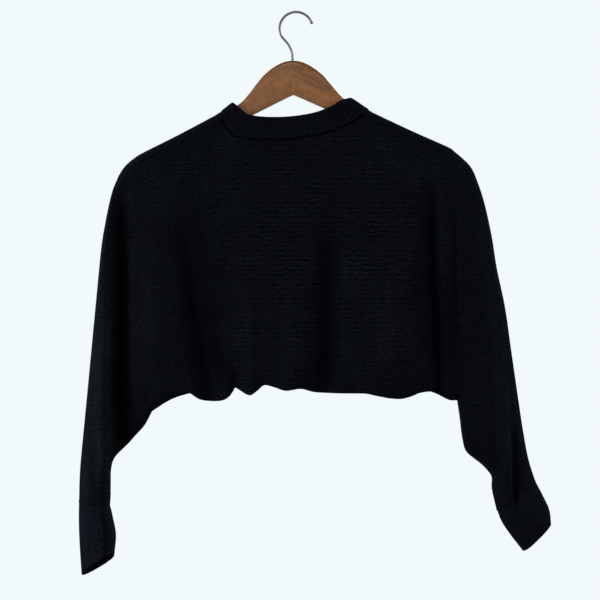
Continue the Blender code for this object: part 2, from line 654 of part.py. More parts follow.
def wood_section(upper, lower, half_thickness, radius):
    """Rounded rectangle of the wood across an arm, as depth and height."""
    points = []
    for turn in range(4):
        y_centre = (half_thickness - radius) * (1 if turn in (0, 3) else -1)
        z_centre = upper - radius if turn in (0, 1) else lower + radius
        for step in range(4):
            angle = math.radians(90 * turn + 30 * step)
            points.append((y_centre + radius * math.cos(angle),
                           z_centre + radius * math.sin(angle)))
    return points


def add_arm(name, side):
    """One half of the wood, from the glued joint to its rounded tip."""
    round_start = ARM_LENGTH - TIP_ROUND
    curved = np.linspace(10.0, 70.0, 7)
    straight = np.linspace(81.0, round_start, 7)
    turned = round_start + TIP_ROUND * np.sin(np.radians([20, 42, 64, 84]))
    rings = []
    for out in np.concatenate([[0.5 * JOINT_GAP], curved, straight, turned]):
        row = read_at(ARM, ARM_COLUMNS, out)
        past = max(0.0, out - round_start) / TIP_ROUND
        size = TIP_SHARE + (1 - TIP_SHARE) * math.sqrt(1 - past ** 2)
        middle = 0.5 * (row["upper"] + row["lower"])
        half = 0.5 * (row["upper"] - row["lower"]) * size
        depth = WOOD_HALF_THICKNESS * size
        radius = min(WOOD_EDGE_RADIUS, 0.9 * half, 0.9 * depth)
        ring = []
        for y, z in wood_section(middle + half, middle - half, depth, radius):
            x, height = turn_wood(out, z, side)
            ring.append((float(x), y, float(height)))
        rings.append(ring)
    return add_loft(name, rings, new_material(name, WOOD))


def add_hanger():
    """Two glued arms with the bore for the hook's stem cut into their joint."""
    arms = [add_arm("hanger_arm_left", -1), add_arm("hanger_arm_right", 1)]
    bpy.ops.mesh.primitive_cylinder_add(
        vertices=16, radius=(WIRE_RADIUS + SEAM_GAP) * MM, depth=2 * STEM_DEPTH * MM,
        location=(WOOD_TOP[0] * MM, 0, WOOD_TOP[1] * MM))
    bore = bpy.context.active_object
    bore.name = "hook_bore"
    bore.hide_render = True
    bore.display_type = "WIRE"
    for collection in bore.users_collection:
        collection.objects.unlink(bore)
    cutters.objects.link(bore)
    for arm in arms:
        cut = arm.modifiers.new("hook_bore", "BOOLEAN")
        cut.operation = "DIFFERENCE"
        cut.object = bore


def add_hook():
    """Wire hook: a stem in the wood, a swan neck and an open bend over the rail."""
    centre_z = WIRE_RADIUS - HOOK_RADIUS
    turns = np.radians(np.linspace(HOOK_START, HOOK_END, 13))
    bend = tuple((HOOK_RADIUS * math.cos(turn), centre_z + HOOK_RADIUS * math.sin(turn))
                 for turn in turns)
    foot = (WOOD_TOP[0], WOOD_TOP[1] - STEM_DEPTH + 1.0)
    rows = bend + HOOK_NECK + (foot,)
    row = read_table(rows, HOOK_COLUMNS, np.linspace(0, len(rows) - 1, 3 * len(rows) - 2))
    curve = bpy.data.curves.new("hanger_hook", "CURVE")
    curve.dimensions = "3D"
    curve.bevel_depth = WIRE_RADIUS * MM
    curve.bevel_resolution = 2
    curve.use_fill_caps = True
    spline = curve.splines.new("POLY")
    spline.points.add(len(row["x"]) - 1)
    for point, x, z in zip(spline.points, row["x"], row["z"]):
        point.co = (x * MM, 0.0, z * MM, 1.0)
    curve.materials.append(new_material("hanger_hook", STEEL))
    parts.objects.link(bpy.data.objects.new("hanger_hook", curve))


for old in list(bpy.data.objects):
    bpy.data.objects.remove(old, do_unlink=True)
parts = bpy.data.collections.new("sweater_on_hanger")
cutters = bpy.data.collections.new("cutters")
for group in (parts, cutters):
    bpy.context.scene.collection.children.link(group)

cloth = add_panels()
add_neckband(cloth)
add_cuff("cuff_left", LEFT_CUFF, cloth, 0, LEFT_CUFF_RISE)
add_cuff("cuff_right", RIGHT_CUFF, cloth, -1, RIGHT_CUFF_RISE)
add_hanger()
add_hook()
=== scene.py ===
"""Black cropped sweater on a wooden hanger: knitted pieces, seams, hanger, stage and light.

Frame: metres, +Z up, origin at the inside top of the hook. The garment's back faces -Y.
The tables are in millimetres. Cloth is worked out on stations, from the left cuff across
the body to the right cuff, each with a section from its top edge to its low edge.
"""

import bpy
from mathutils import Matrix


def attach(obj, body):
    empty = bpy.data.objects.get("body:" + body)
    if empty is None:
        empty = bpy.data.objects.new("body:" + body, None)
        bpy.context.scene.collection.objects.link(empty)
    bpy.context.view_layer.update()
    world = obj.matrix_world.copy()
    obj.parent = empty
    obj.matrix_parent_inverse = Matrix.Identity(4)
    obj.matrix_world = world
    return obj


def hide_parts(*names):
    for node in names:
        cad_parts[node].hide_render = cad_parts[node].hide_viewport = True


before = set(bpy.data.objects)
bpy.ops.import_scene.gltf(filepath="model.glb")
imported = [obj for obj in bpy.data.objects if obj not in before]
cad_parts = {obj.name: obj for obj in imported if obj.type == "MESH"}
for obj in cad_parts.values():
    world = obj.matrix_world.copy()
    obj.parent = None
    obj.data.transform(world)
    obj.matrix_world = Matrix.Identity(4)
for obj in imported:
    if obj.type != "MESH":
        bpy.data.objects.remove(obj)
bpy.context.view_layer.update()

import math

import bmesh
import bpy
import numpy as np
from bpy.props import FloatProperty, FloatVectorProperty, IntProperty, PointerProperty
from bpy.types import Operator, Panel, PropertyGroup
from mathutils import Vector

bl_info = {
    "name": "Cropped sweater on a hanger",
    "version": (1, 0, 0),
    "blender": (4, 5, 0),
    "location": "3D View > Sidebar > Sweater",
    "description": "Builds a knitted cropped sweater on a wooden hanger",
    "category": "Object",
}

MM = 0.001

# ---- cloth, as the packed model has it -----------------------------------------------------
SEAM_GAP = 0.3
SHOULDER_CLEARANCE = {-1: 1.8, 1: 0.9}      # over the left and the right arm
SHOULDER_HALF_DEPTH = 10.4
NECK_HALF_DEPTH = 16.0
NECK_EASE = 0.4          # how much prouder the panels are just below the neck
NECK_REACH = 120.0       # down from the neck to where its extra depth has faded
HEM_HALF_DEPTH = 25.0
CORNER_HALF_DEPTH = 11.0
NECK_LEFT = 92.0         # the neck's ends, out along each arm
NECK_RIGHT = 95.5
HEM_LEFT = -187.2
HEM_RIGHT = 209.3
HEM_BELOW_NECK_LEFT = -81.4
HEM_BELOW_NECK_RIGHT = 93.8
HEM_CAP = 30.0           # the rounding of a section towards its low edge
CAP_SHARE = 0.36         # of a section that one of its roundings takes at most
NECK_CAP = 4.0           # the least rounding below the neckband
FADE_IN = 0.18           # of a fold's length, over which it swells from nothing
FADE_OUT = 0.12
CUFF_RISE = {-1: 6.0, 1: -1.0}              # how much higher a cuff's rim is at the back

# ---- steps and shares of the fine meshes ----------------------------------------------------
SLEEVE_STEPS = 80
SHOULDER_STEPS = 30
NECK_STEPS = 70
CAP_STEPS = 9
SIDE_STEPS = 84
CUFF_STEPS = 34
HOOK_STEPS = 170
TABLE_STEPS = 12         # readings for each row, where a table is read by its first column
NORMAL_PASSES = 8
CUFF_NORMAL_PASSES = 3
NECK_BLEND = 14          # stations beside the neck
SMOOTH_PASSES = 60
SMOOTH_START = 4.0       # from a seam to where its sections begin to be smoothed, in mm
SMOOTH_REACH = 40.0
RIM_SHARE = 0.2          # of the wall's thickness that rounds its edges
RIM_STEP = 0.45          # of the way to the next row, at most
INNER_PASSES = 200
INNER_SHARE = 0.5        # of the outer wall's spacing that the inner wall keeps
ROUNDING = {-1: 2.6, 1: 1.5}                # the overarm's, down a sleeve's slanting sections
ROUNDING_ROWS = 5        # of a sleeve's table, over which that rounding grows
FULL_ROUNDING = 2.6
ROUNDING_SHARE = 0.6     # of the section, at full rounding
LOW_TRIM = 0.15          # of the low edge's rounding, taken off at full rounding
CREASE_PIECES = 24       # straight pieces that a crease's bent line is followed in
CREASE_FADE_IN = 0.25
CREASE_FADE_OUT = 0.2
CUFF_BLEND = 0.25        # of a cuff's length that still has the sleeve end's form
CUFF_NORMAL_BLEND = 0.12
CUFF_CROWN = 0.35        # a cuff's folds get less painted light and shade than a panel's

# ---- hanger ---------------------------------------------------------------------------------
WOOD_TOP = (-4.7, -61.5)
WOOD_TILT = 1.37         # degrees
WOOD_FALL = 27.0         # degrees, of an arm and of its grain
WOOD_HALF_THICKNESS = 6.5
WOOD_EDGE_RADIUS = 5.5
WOOD_LOW_RADIUS = 2.0
ARM_LENGTH = 201.0
SHOULDER_END = 202.0
ARM_BENT = 80.0          # length of the arm's curved part, which has closer sections
BENT_STEPS = 55
STRAIGHT_STEPS = 37
TIP_ROUND = 7.0
TIP_STEPS = 13
CORNER_STEPS = 9         # round each corner of the wood's section
TIP_SHARE = 0.35         # of the wood's section that is left at its very tip
JOINT_GAP = 0.04         # glue
HOOK_RADIUS = 21.5
HOOK_START = 20.0        # degrees round the bend
HOOK_END = 208.0
STEM_DEPTH = 18.0
FILED_ANGLES = (8, 25, 45, 65)              # degrees, round the wire's filed end
KNOB_SWELL = 0.35        # of the wire's radius
KNOB_LENGTH = 2.5
KNOB_FADE = 1.5

# ---- linked seams ---------------------------------------------------------------------------
NECK_YARN = 0.0019       # pulled flat and wide, in m
CUFF_YARN = 0.0014
NECK_LINKS_BELOW = 2.3   # the neckband's edge
NECK_LINKS_DEEP = 0.9
CUFF_LINKS_DEEP = 0.3
UNDERARM_LINKS_PROUD = 0.2
LEG_LENGTH = 0.62        # half of a stitch's leg, of the stitches' spacing
LEG_APART = 0.62         # of the yarn's thickness
LINKS_PROUD = 0.35       # of their yarn's thickness, along the shoulders

LINE_COLUMNS = ("x", "z")
HOOK_NECK = (
    (-11.6, -38.6),
    (-7.6, -45.4),
    (-5.2, -53.0),
    (-4.7, -60.0),
)

ARM_COLUMNS = ("out", "upper", "lower")
ARM = (
    (0.0, 0.0, -44.5),
    (10.0, -1.3, -49.0),
    (19.5, -5.1, -53.5),
    (28.6, -10.7, -57.8),
    (39.0, -19.4, -62.7),
    (48.8, -31.0, -67.3),
    (59.8, -44.5, -72.5),
    (70.9, -55.0, -77.6),
    (91.7, -66.8, -87.2),
    (107.3, -75.2, -94.4),
    (149.5, -96.3, -113.8),
    (190.0, -115.4, -131.2),
    (203.0, -121.9, -136.0),
)

SLEEVE_COLUMNS = ("over_x", "over_z", "under_x", "under_z", "middle_y", "half_depth")
LEFT_SLEEVE = (
    (-216.5, -193.0, -197.0, -534.0, 0.0, 11.0),
    (-223.0, -199.6, -208.5, -547.0, 0.0, 12.0),
    (-228.4, -207.6, -217.5, -557.0, -1.0, 12.5),
    (-233.0, -217.0, -224.5, -563.8, -1.0, 13.0),
    (-237.6, -228.6, -230.5, -569.6, -2.0, 13.5),
    (-242.0, -245.5, -235.0, -574.4, -2.0, 14.0),
    (-247.2, -272.0, -238.0, -580.0, -3.0, 15.0),
    (-252.4, -305.0, -239.6, -586.6, -4.0, 17.0),
    (-259.0, -372.2, -240.5, -594.6, -5.0, 20.0),
    (-266.4, -450.0, -240.5, -603.6, -6.0, 23.0),
    (-273.6, -525.0, -240.5, -613.6, -7.0, 26.0),
    (-279.4, -588.0, -240.5, -625.6, -8.0, 28.5),
    (-280.8, -632.2, -241.2, -636.1, -9.0, 30.0),
)
RIGHT_SLEEVE = (
    (224.9, -197.3, 212.6, -524.3, 0.0, 12.0),
    (235.3, -218.8, 214.5, -541.2, 0.0, 13.0),
    (244.4, -247.4, 216.5, -554.2, -1.0, 14.0),
    (253.5, -289.0, 219.1, -564.6, -2.0, 15.0),
    (260.0, -330.6, 223.6, -571.1, -3.0, 16.0),
    (270.4, -380.0, 230.8, -576.9, -4.0, 17.0),
    (278.6, -437.2, 239.2, -583.4, -5.0, 18.0),
    (287.0, -495.7, 247.7, -591.9, -6.0, 19.0),
    (293.4, -538.6, 253.5, -601.0, -7.0, 20.0),
    (300.3, -576.3, 253.8, -616.6, -8.0, 21.0),
    (309.4, -606.2, 259.6, -642.6, -9.0, 22.0),
)
LEFT_CUFF = (
    (-280.8, -632.2, -241.2, -636.1, -9.0, 30.0),
    (-281.0, -658.2, -237.0, -653.0, -10.0, 31.5),
    (-279.7, -690.7, -233.0, -675.1, -11.0, 32.5),
    (-277.2, -727.0, -235.2, -701.5, -12.0, 31.0),
)
RIGHT_CUFF = (
    (309.4, -606.2, 259.6, -642.6, -9.0, 22.0),
    (318.8, -624.4, 265.2, -657.5, -12.0, 24.0),
    (326.9, -642.6, 275.8, -673.8, -15.0, 25.0),
    (328.9, -660.8, 292.5, -695.5, -18.0, 23.0),
)

NECK_COLUMNS = ("seam_x", "seam_y", "seam_z", "top_x", "top_y", "top_z")
NECK_BACK = (
    (-94.2, -7.0, -129.5, -80.4, -7.0, -116.9),
    (-92.6, -9.8, -134.6, -78.0, -9.8, -118.9),
    (-91.0, -10.9, -142.0, -73.8, -10.9, -122.4),
    (-85.4, -12.2, -150.6, -68.2, -12.0, -127.2),
    (-72.8, -14.0, -159.0, -60.8, -13.6, -132.2),
    (-44.2, -15.6, -162.0, -39.0, -15.0, -135.2),
    (-7.8, -16.2, -161.4, -7.8, -15.6, -134.6),
    (28.6, -15.6, -155.6, 23.4, -15.0, -129.6),
    (57.2, -14.0, -146.4, 46.8, -13.6, -120.6),
    (70.8, -12.6, -139.2, 54.0, -12.4, -115.6),
    (80.6, -11.2, -133.6, 60.4, -11.2, -112.4),
    (87.6, -9.8, -130.6, 65.2, -9.8, -111.0),
    (91.2, -7.0, -126.5, 67.6, -7.0, -110.2),
)
NECK_FRONT = (
    (-94.2, 7.0, -129.6, -80.4, 7.0, -117.2),
    (-92.4, 9.8, -134.8, -78.0, 9.8, -119.6),
    (-90.2, 11.0, -142.8, -73.8, 11.0, -125.4),
    (-85.4, 13.2, -158.6, -68.2, 13.0, -137.2),
    (-71.0, 16.8, -181.0, -57.4, 16.2, -156.6),
    (-40.0, 19.6, -194.0, -32.6, 18.8, -168.4),
    (-3.0, 20.6, -198.0, -2.6, 19.8, -172.0),
    (34.0, 19.6, -193.0, 27.4, 18.8, -167.2),
    (64.0, 16.8, -177.0, 50.0, 16.2, -152.4),
    (80.8, 13.2, -155.6, 59.4, 13.0, -131.6),
    (86.6, 11.0, -140.4, 63.4, 11.0, -118.6),
    (88.8, 9.8, -132.0, 65.6, 9.8, -112.8),
    (91.2, 7.0, -126.6, 67.6, 7.0, -110.6),
)
NECK_TOP_LEFT = (-81.3, 0.0, -116.1)
NECK_TOP_RIGHT = (69.2, 0.0, -109.6)

HEM_BACK = (
    (-187.2, -516.5),
    (-165.0, -500.4),
    (-141.7, -491.4),
    (-124.0, -500.5),
    (-106.6, -502.8),
    (-92.0, -500.5),
    (-83.0, -493.0),
    (-78.7, -485.0),
    (-74.0, -487.5),
    (-60.0, -494.7),
    (-50.0, -489.0),
    (-41.0, -481.8),
    (-28.0, -484.5),
    (-13.0, -488.9),
    (6.5, -486.6),
    (26.0, -491.3),
    (60.0, -492.4),
    (96.0, -493.0),
    (115.7, -497.8),
    (135.0, -499.7),
    (150.8, -495.7),
    (166.4, -489.2),
    (182.0, -493.7),
    (197.0, -501.2),
    (209.3, -502.2),
)
HEM_FRONT = (
    (-187.2, -516.5),
    (-160.0, -500.5),
    (-125.0, -491.0),
    (-98.0, -489.0),
    (-80.0, -480.5),
    (-60.0, -478.5),
    (-30.0, -480.5),
    (10.0, -485.0),
    (45.0, -485.5),
    (80.0, -492.0),
    (108.0, -498.0),
    (130.0, -500.5),
    (155.0, -495.0),
    (180.0, -492.0),
    (209.3, -502.2),
)

# Large folds of each layer, and of both together, shared with the packed model: how far they
# push the cloth towards +Y.
FOLD_COLUMNS = ("x_top", "x_middle", "x_low", "z_top", "z_low",
                "width_top", "width_low", "push_top", "push_low")
FOLDS = {
    "both": (
        (-226.0, -227.0, -228.0, -196.0, -640.0, 18.0, 20.0, 7.0, 29.0),
        (-238.0, -245.0, -243.0, -215.0, -640.0, 14.0, 17.0, -2.0, -9.0),
        (-190.0, -188.0, -184.0, -250.0, -540.0, 20.0, 28.0, -2.0, -7.5),
    ),
    "back": (
        (-144.0, -131.0, -107.0, -270.0, -530.0, 13.0, 22.0, 3.0, 14.0),
        (-79.0, -79.0, -79.0, -440.0, -530.0, 6.0, 10.0, 1.0, 8.0),
        (-58.0, -58.0, -60.0, -360.0, -530.0, 12.0, 15.0, -1.0, -6.0),
        (-10.0, -10.0, -12.0, -300.0, -530.0, 22.0, 26.0, -1.0, -5.0),
        (40.0, 36.0, 31.0, -260.0, -530.0, 19.0, 25.0, 3.0, 13.0),
        (98.0, 100.0, 104.0, -280.0, -530.0, 34.0, 38.0, -2.0, -6.0),
        (176.0, 179.0, 184.0, -205.0, -530.0, 10.0, 16.0, 6.0, 14.0),
        (203.0, 205.0, 207.0, -250.0, -450.0, 7.0, 9.0, 5.0, 4.0),
        (234.0, 261.0, 271.0, -235.0, -640.0, 13.0, 12.0, -3.5, -5.0),
        (277.0, 280.0, 283.5, -525.0, -645.0, 7.0, 9.0, 3.0, 6.0),
    ),
    "front": (
        (-130.0, -122.0, -108.0, -260.0, -530.0, 13.0, 22.0, -3.0, -12.0),
        (-64.0, -60.0, -56.0, -330.0, -530.0, 20.0, 26.0, 2.0, 7.0),
        (-10.0, -8.0, -4.0, -280.0, -530.0, 16.0, 22.0, -3.0, -11.0),
        (56.0, 60.0, 66.0, -300.0, -530.0, 26.0, 32.0, 2.0, 8.0),
        (126.0, 124.0, 120.0, -250.0, -530.0, 14.0, 20.0, -4.0, -12.0),
        (186.0, 188.0, 190.0, -230.0, -540.0, 13.0, 18.0, -5.0, -12.0),
        (240.0, 262.0, 274.0, -260.0, -650.0, 13.0, 14.0, 3.0, 9.0),
    ),
}

# Smaller creases: each follows a bent line through three places and rises
# out of the cloth (or sinks into it) by its height. A steep one has a flat floor.
CREASE_COLUMNS = ("x_top", "z_top", "x_middle", "z_middle", "x_low", "z_low",
                  "width_top", "width_low", "height_top", "height_low", "steep")
CREASES = {
    "back": (
        (-189.8, -274.7, -189.8, -372.2, -184.6, -482.7, 14, 18, 1.0, 2.5, 2),
        (-154.0, -246.0, -140.0, -345.0, -114.0, -494.0, 14, 17, -2.5, -4.8, 2),
        (37.0, -270.0, 38.0, -370.0, 36.0, -494.0, 11, 11, -2.0, -4.5, 2),
        (167.0, -205.0, 172.0, -340.0, 184.0, -480.0, 11, 19, -3.0, -5.6, 2),
        (198.0, -280.0, 199.0, -390.0, 199.0, -486.0, 6, 7, -1.5, -3.0, 2),
        (-130.0, -225.0, -116.0, -365.0, -89.0, -500.0, 14, 15, -2.4, -5.0, 2),
        (52.0, -262.0, 50.0, -370.0, 49.0, -494.0, 12, 13, -1.6, -3.4, 2),
        (-94.0, -139.5, -113.0, -149.5, -210.6, -187.0, 1.6, 1.8, -0.9, -0.9, 2),
        (90.0, -134.5, 118.0, -146.0, 214.0, -191.0, 1.6, 1.8, -0.9, -0.9, 2),
        (-96.2, -307.2, -92.3, -359.2, -96.2, -411.2, 8, 9, -0.8, -1.6, 2),
        (-72.8, -287.7, -68.9, -372.2, -65.0, -469.7, 10, 12, 0.8, 2.2, 2),
        (-40.3, -294.2, -39.0, -359.2, -36.4, -437.2, 9, 10, 0.5, 1.0, 2),
        (-16.9, -333.2, -16.9, -398.2, -19.5, -482.7, 9, 10, -0.5, -1.2, 2),
        (31.2, -248.7, 37.7, -287.7, 44.2, -322.8, 16, 16, -0.8, -2.0, 2),
        (5.2, -307.2, 2.6, -398.2, 0.0, -486.6, 9, 11, 0.6, 1.5, 2),
        (67.6, -294.2, 65.0, -385.2, 62.4, -486.6, 10, 12, 1.0, 2.5, 2),
        (91.0, -339.7, 94.9, -398.2, 98.8, -469.7, 8, 9, -0.6, -1.6, 2),
        (124.8, -264.7, 122.2, -372.2, 117.0, -482.7, 13, 15, 1.6, 3.6, 2),
        (192.4, -248.7, 195.0, -339.2, 199.6, -450.2, 7, 8, 1.4, 1.2, 2),
        (149.4, -251.7, 150.0, -372.2, 148.3, -486.6, 9, 11, 0.8, 0.8, 2),
        (-109.2, -172.0, -144.3, -203.2, -176.8, -248.7, 9, 13, 0.6, 1.2, 2),
        (-92.3, -187.6, -124.8, -222.7, -148.2, -261.7, 10, 12, -0.4, -1.2, 2),
        (102.7, -164.2, 135.2, -196.7, 161.2, -235.7, 9, 12, 0.6, 1.2, 2),
        (85.8, -177.2, 124.8, -216.2, 150.8, -255.2, 9, 12, -0.4, -1.0, 2),
        (234.0, -228.7, 263.5, -412.2, 274.0, -640.0, 3.8, 4.0, 2.0, 2.8, 2),
        (278.0, -540.0, 280.5, -590.0, 283.5, -650.0, 3.6, 3.6, -1.0, -2.2, 2),
        (217.1, -541.2, 232.7, -554.2, 252.2, -563.3, 5, 6, 0.8, 0.8, 2),
        (223.6, -567.2, 239.2, -575.0, 260.0, -582.8, 5, 5, -0.8, -0.8, 2),
        (210.6, -491.8, 215.8, -515.2, 221.0, -554.2, 5, 5, -1.5, -1.0, 2),
        (-265.2, -573.7, -269.1, -606.2, -270.4, -638.7, 5, 5, 1.0, 1.6, 2),
        (-249.6, -411.2, -253.5, -502.2, -256.1, -567.2, 6, 6, 1.2, 1.6, 2),
        (-245.7, -573.7, -245.7, -603.6, -248.3, -629.6, 6, 5, -1.2, -1.5, 2),
        (-258.7, -593.2, -254.8, -612.7, -249.6, -621.8, 4, 4, -0.8, -0.8, 2),
        (-275.6, -628.3, -261.3, -632.2, -243.1, -629.6, 4, 4, -1.2, -1.2, 2),
        (-234.0, -222.0, -230.5, -390.0, -229.5, -580.0, 9, 11, -5.0, -8.0, 4),
        (-238.0, -235.0, -243.0, -400.0, -241.0, -660.0, 8, 13, 2.0, 6.0, 2),
        (-206.0, -240.0, -210.0, -390.0, -204.0, -560.0, 9, 12, 2.0, 6.0, 2),
    ),
    "front": (
        (-150.0, -262.0, -148.0, -350.0, -150.0, -470.0, 10, 13, -0.8, -2.2, 2),
        (-96.0, -300.0, -92.0, -380.0, -86.0, -470.0, 9, 12, 0.8, 1.8, 2),
        (-34.0, -260.0, -36.0, -350.0, -32.0, -460.0, 9, 12, -0.6, -1.4, 2),
        (24.0, -290.0, 28.0, -370.0, 30.0, -470.0, 9, 11, 0.8, 2.0, 2),
        (92.0, -250.0, 95.0, -340.0, 93.0, -440.0, 10, 11, -0.8, -1.8, 2),
        (154.0, -240.0, 152.0, -340.0, 158.0, -460.0, 9, 12, 0.8, 2.2, 2),
        (-100.0, -176.0, -136.0, -206.0, -168.0, -250.0, 9, 13, 0.6, 1.4, 2),
        (98.0, -172.0, 134.0, -206.0, 166.0, -252.0, 9, 12, 0.6, 1.2, 2),
        (-56.0, -214.0, -30.0, -232.0, 10.0, -236.0, 9, 9, -0.6, -0.8, 2),
        (60.0, -206.0, 38.0, -226.0, 6.0, -240.0, 8, 9, 0.5, 0.6, 2),
        (-222.0, -300.0, -226.0, -400.0, -232.0, -520.0, 8, 9, 1.0, 2.2, 2),
        (-262.0, -470.0, -258.0, -520.0, -250.0, -560.0, 8, 9, -0.8, -1.0, 2),
        (-244.0, -560.0, -254.0, -578.0, -268.0, -590.0, 8, 8, 0.7, 0.7, 2),
        (222.0, -300.0, 240.0, -400.0, 252.0, -520.0, 9, 10, -1.0, -2.0, 2),
        (276.0, -480.0, 268.0, -520.0, 252.0, -550.0, 6, 7, 0.8, 1.2, 2),
        (262.0, -560.0, 276.0, -574.0, 292.0, -582.0, 5, 5, -0.9, -0.9, 2),
    ),
    "cuff_left back": (
        (-241.0, -600.0, -241.0, -680.0, -242.0, -760.0, 15, 17, 6.0, 6.6, 2),
        (-245.7, -647.8, -244.4, -671.2, -241.8, -699.8, 3, 3, 0.8, 1.0, 2),
        (-275.6, -636.1, -260.0, -640.0, -241.8, -637.4, 4, 4, -0.8, -0.8, 2),
    ),
    "cuff_left front": (
        (-270.0, -650.0, -262.0, -672.0, -258.0, -694.0, 5, 5, -0.8, -1.0, 2),
    ),
    "cuff_right back": (
        (280.0, -630.0, 292.0, -620.0, 306.0, -608.5, 1.8, 1.8, 1.6, 1.6, 2),
        (280.8, -642.6, 288.6, -658.2, 301.6, -671.2, 6, 6, -0.8, -1.2, 2),
    ),
    "cuff_right front": (
        (300.0, -625.0, 306.0, -642.0, 314.0, -655.0, 6, 6, 0.8, 1.0, 2),
    ),
}

# Neckband's profile, once round from its linked edge: height as a part of the band's, which
# side it is on (1 outside, 0 inside), how far it bulges and how much of the ribs shows, in mm.
BAND_COLUMNS = ("share", "side", "bulge", "rib")
BAND_PROFILE = (
    (0.0, 0.4, 0.0, 0.0),
    (-0.035, 0.7, 0.1, 0.0),
    (-0.055, 0.95, 0.4, 0.0),
    (-0.04, 1.0, 0.9, 0.05),
    (0.0, 1.0, 1.25, 0.15),
    (0.05, 1.0, 1.25, 0.35),
    (0.11, 1.0, 0.75, 0.9),
    (0.2, 1.0, 0.55, 1.0),
    (0.35, 1.0, 0.6, 1.0),
    (0.5, 1.0, 0.6, 1.0),
    (0.65, 1.0, 0.6, 1.0),
    (0.8, 1.0, 0.6, 1.0),
    (0.9, 1.0, 0.45, 0.95),
    (0.96, 0.95, 0.2, 0.8),
    (0.99, 0.8, 0.0, 0.55),
    (1.0, 0.5, 0.0, 0.35),
    (0.99, 0.2, 0.0, 0.3),
    (0.95, 0.03, 0.0, 0.3),
    (0.85, 0.0, 0.0, 0.3),
    (0.6, 0.0, 0.0, 0.3),
    (0.35, 0.0, 0.0, 0.3),
    (0.12, 0.0, 0.0, 0.2),
    (0.0, 0.1, 0.0, 0.0),
)
BAND_WALL = 2.2
NECK_SINK = 1.5          # how far the panels' edges lie below the neckband's
NECK_SINK_REACH = 4.0
RIB_SAMPLES = 8          # points round the band for one rib
CROWN_PUSH = 22.0        # a fold's or crease's height at which its painted light and shade is full, in mm
CROWN_RISE = 5.0
UV_SCALE = 0.01          # the knit's map is 1 for each 100 mm of cloth


def hex_to_linear(code):
    """sRGB hex colour to linear values."""
    values = [int(code[start:start + 2], 16) / 255 for start in (1, 3, 5)]
    return tuple(value / 12.92 if value <= 0.04045 else ((value + 0.055) / 1.055) ** 2.4
                 for value in values)


# ---- sizes and colours that a user would change -------------------------------------------
class ClothSettings(PropertyGroup):
    """Knitted cloth of the panels and cuffs."""
    wall: FloatProperty(
        name="Cloth thickness", description="Thickness of the knitted wall",
        default=0.0018, unit="LENGTH")
    crease: FloatProperty(
        name="Crease depth", description="Depth of the small creases against the real ones",
        default=1.0, min=0.0, max=1.2, subtype="FACTOR")
    stitch: FloatProperty(
        name="Stitch width", description="Width of one knitted stitch as drawn",
        default=0.0030, unit="LENGTH")
    course: FloatProperty(
        name="Course spacing", description="Spacing of the courses that stand out",
        default=0.0062, unit="LENGTH")
    # Painted light and shade: how much lighter the crowns of the folds and how much darker their
    # hollows are painted.
    painted_fold_shading: FloatProperty(
        name="Painted fold shading", description="How much greyer the crowns of the folds are",
        default=0.6, min=0.0, max=0.9, subtype="FACTOR")
    dark: FloatVectorProperty(
        name="Yarn in shade", description="Colour deep between the stitches",
        default=hex_to_linear("#030508"), size=3, subtype="COLOR", min=0.0, max=1.0)
    light: FloatVectorProperty(
        name="Yarn on top", description="Colour of the stitches' crowns",
        default=hex_to_linear("#181b22"), size=3, subtype="COLOR", min=0.0, max=1.0)


class BandSettings(PropertyGroup):
    """Ribbed neckband and linked seams."""
    ribs: IntProperty(
        name="Ribs", description="Number of ribs round the neckband", default=120, min=40)
    rib_height: FloatProperty(
        name="Rib height", description="Height of a rib over the hollow beside it",
        default=0.0010, unit="LENGTH")
    link_pitch: FloatProperty(
        name="Link spacing", description="Spacing of the chain stitches along a seam",
        default=0.0034, unit="LENGTH")
    link_yarn: FloatProperty(
        name="Link yarn", description="Thickness of the yarn that links the seams",
        default=0.0009, unit="LENGTH")


class HangerSettings(PropertyGroup):
    """Wooden arms and the wire hook."""
    wire: FloatProperty(
        name="Wire radius", description="Radius of the hook's wire",
        default=0.0016, unit="LENGTH")
    wood: FloatVectorProperty(
        name="Stain", description="Colour of the stained wood",
        default=hex_to_linear("#96602f"), size=3, subtype="COLOR", min=0.0, max=1.0)
    grain: FloatVectorProperty(
        name="Grain", description="Colour of the dark grain lines",
        default=hex_to_linear("#54300f"), size=3, subtype="COLOR", min=0.0, max=1.0)
    steel: FloatVectorProperty(
        name="Steel", description="Colour of the plated wire",
        default=hex_to_linear("#5c5d5e"), size=3, subtype="COLOR", min=0.0, max=1.0)


class StageSettings(PropertyGroup):
    """Backdrop, light and camera."""
    backdrop: FloatVectorProperty(
        name="Backdrop", description="Colour of the floor and the wall",
        default=hex_to_linear("#f2f9fb"), size=3, subtype="COLOR", min=0.0, max=1.0)
    floor: FloatProperty(
        name="Floor height", description="Height of the floor below the hook",
        default=-1.25, unit="LENGTH")
    radius: FloatProperty(
        name="Backdrop radius", description="Distance from the object to the wall",
        default=4.3, unit="LENGTH")
    lens: FloatProperty(
        name="Lens", description="Focal length of the camera in millimetres",
        default=148.0, min=10.0)


# ---- curves -----------------------------------------------------------------------------
def read_rows(rows, places):
    """Smooth curve through table rows, read at fractional row numbers."""
    rows = np.asarray(rows, float)
    places = np.asarray(places, float)
    first = np.clip(places.astype(int), 0, len(rows) - 2)
    part = (places - first)[:, None]
    ends = np.vstack([2 * rows[0] - rows[1], rows, 2 * rows[-1] - rows[-2]])
    a, b, c, d = (ends[first + shift] for shift in range(4))
    return 0.5 * (2 * b + (c - a) * part + (2 * a - 5 * b + 4 * c - d) * part ** 2
                  + (3 * b - a - 3 * c + d) * part ** 3)


def read_table(rows, columns, places):
    """Smooth columns of a table by their names, read at fractional row numbers."""
    return dict(zip(columns, read_rows(rows, places).T))


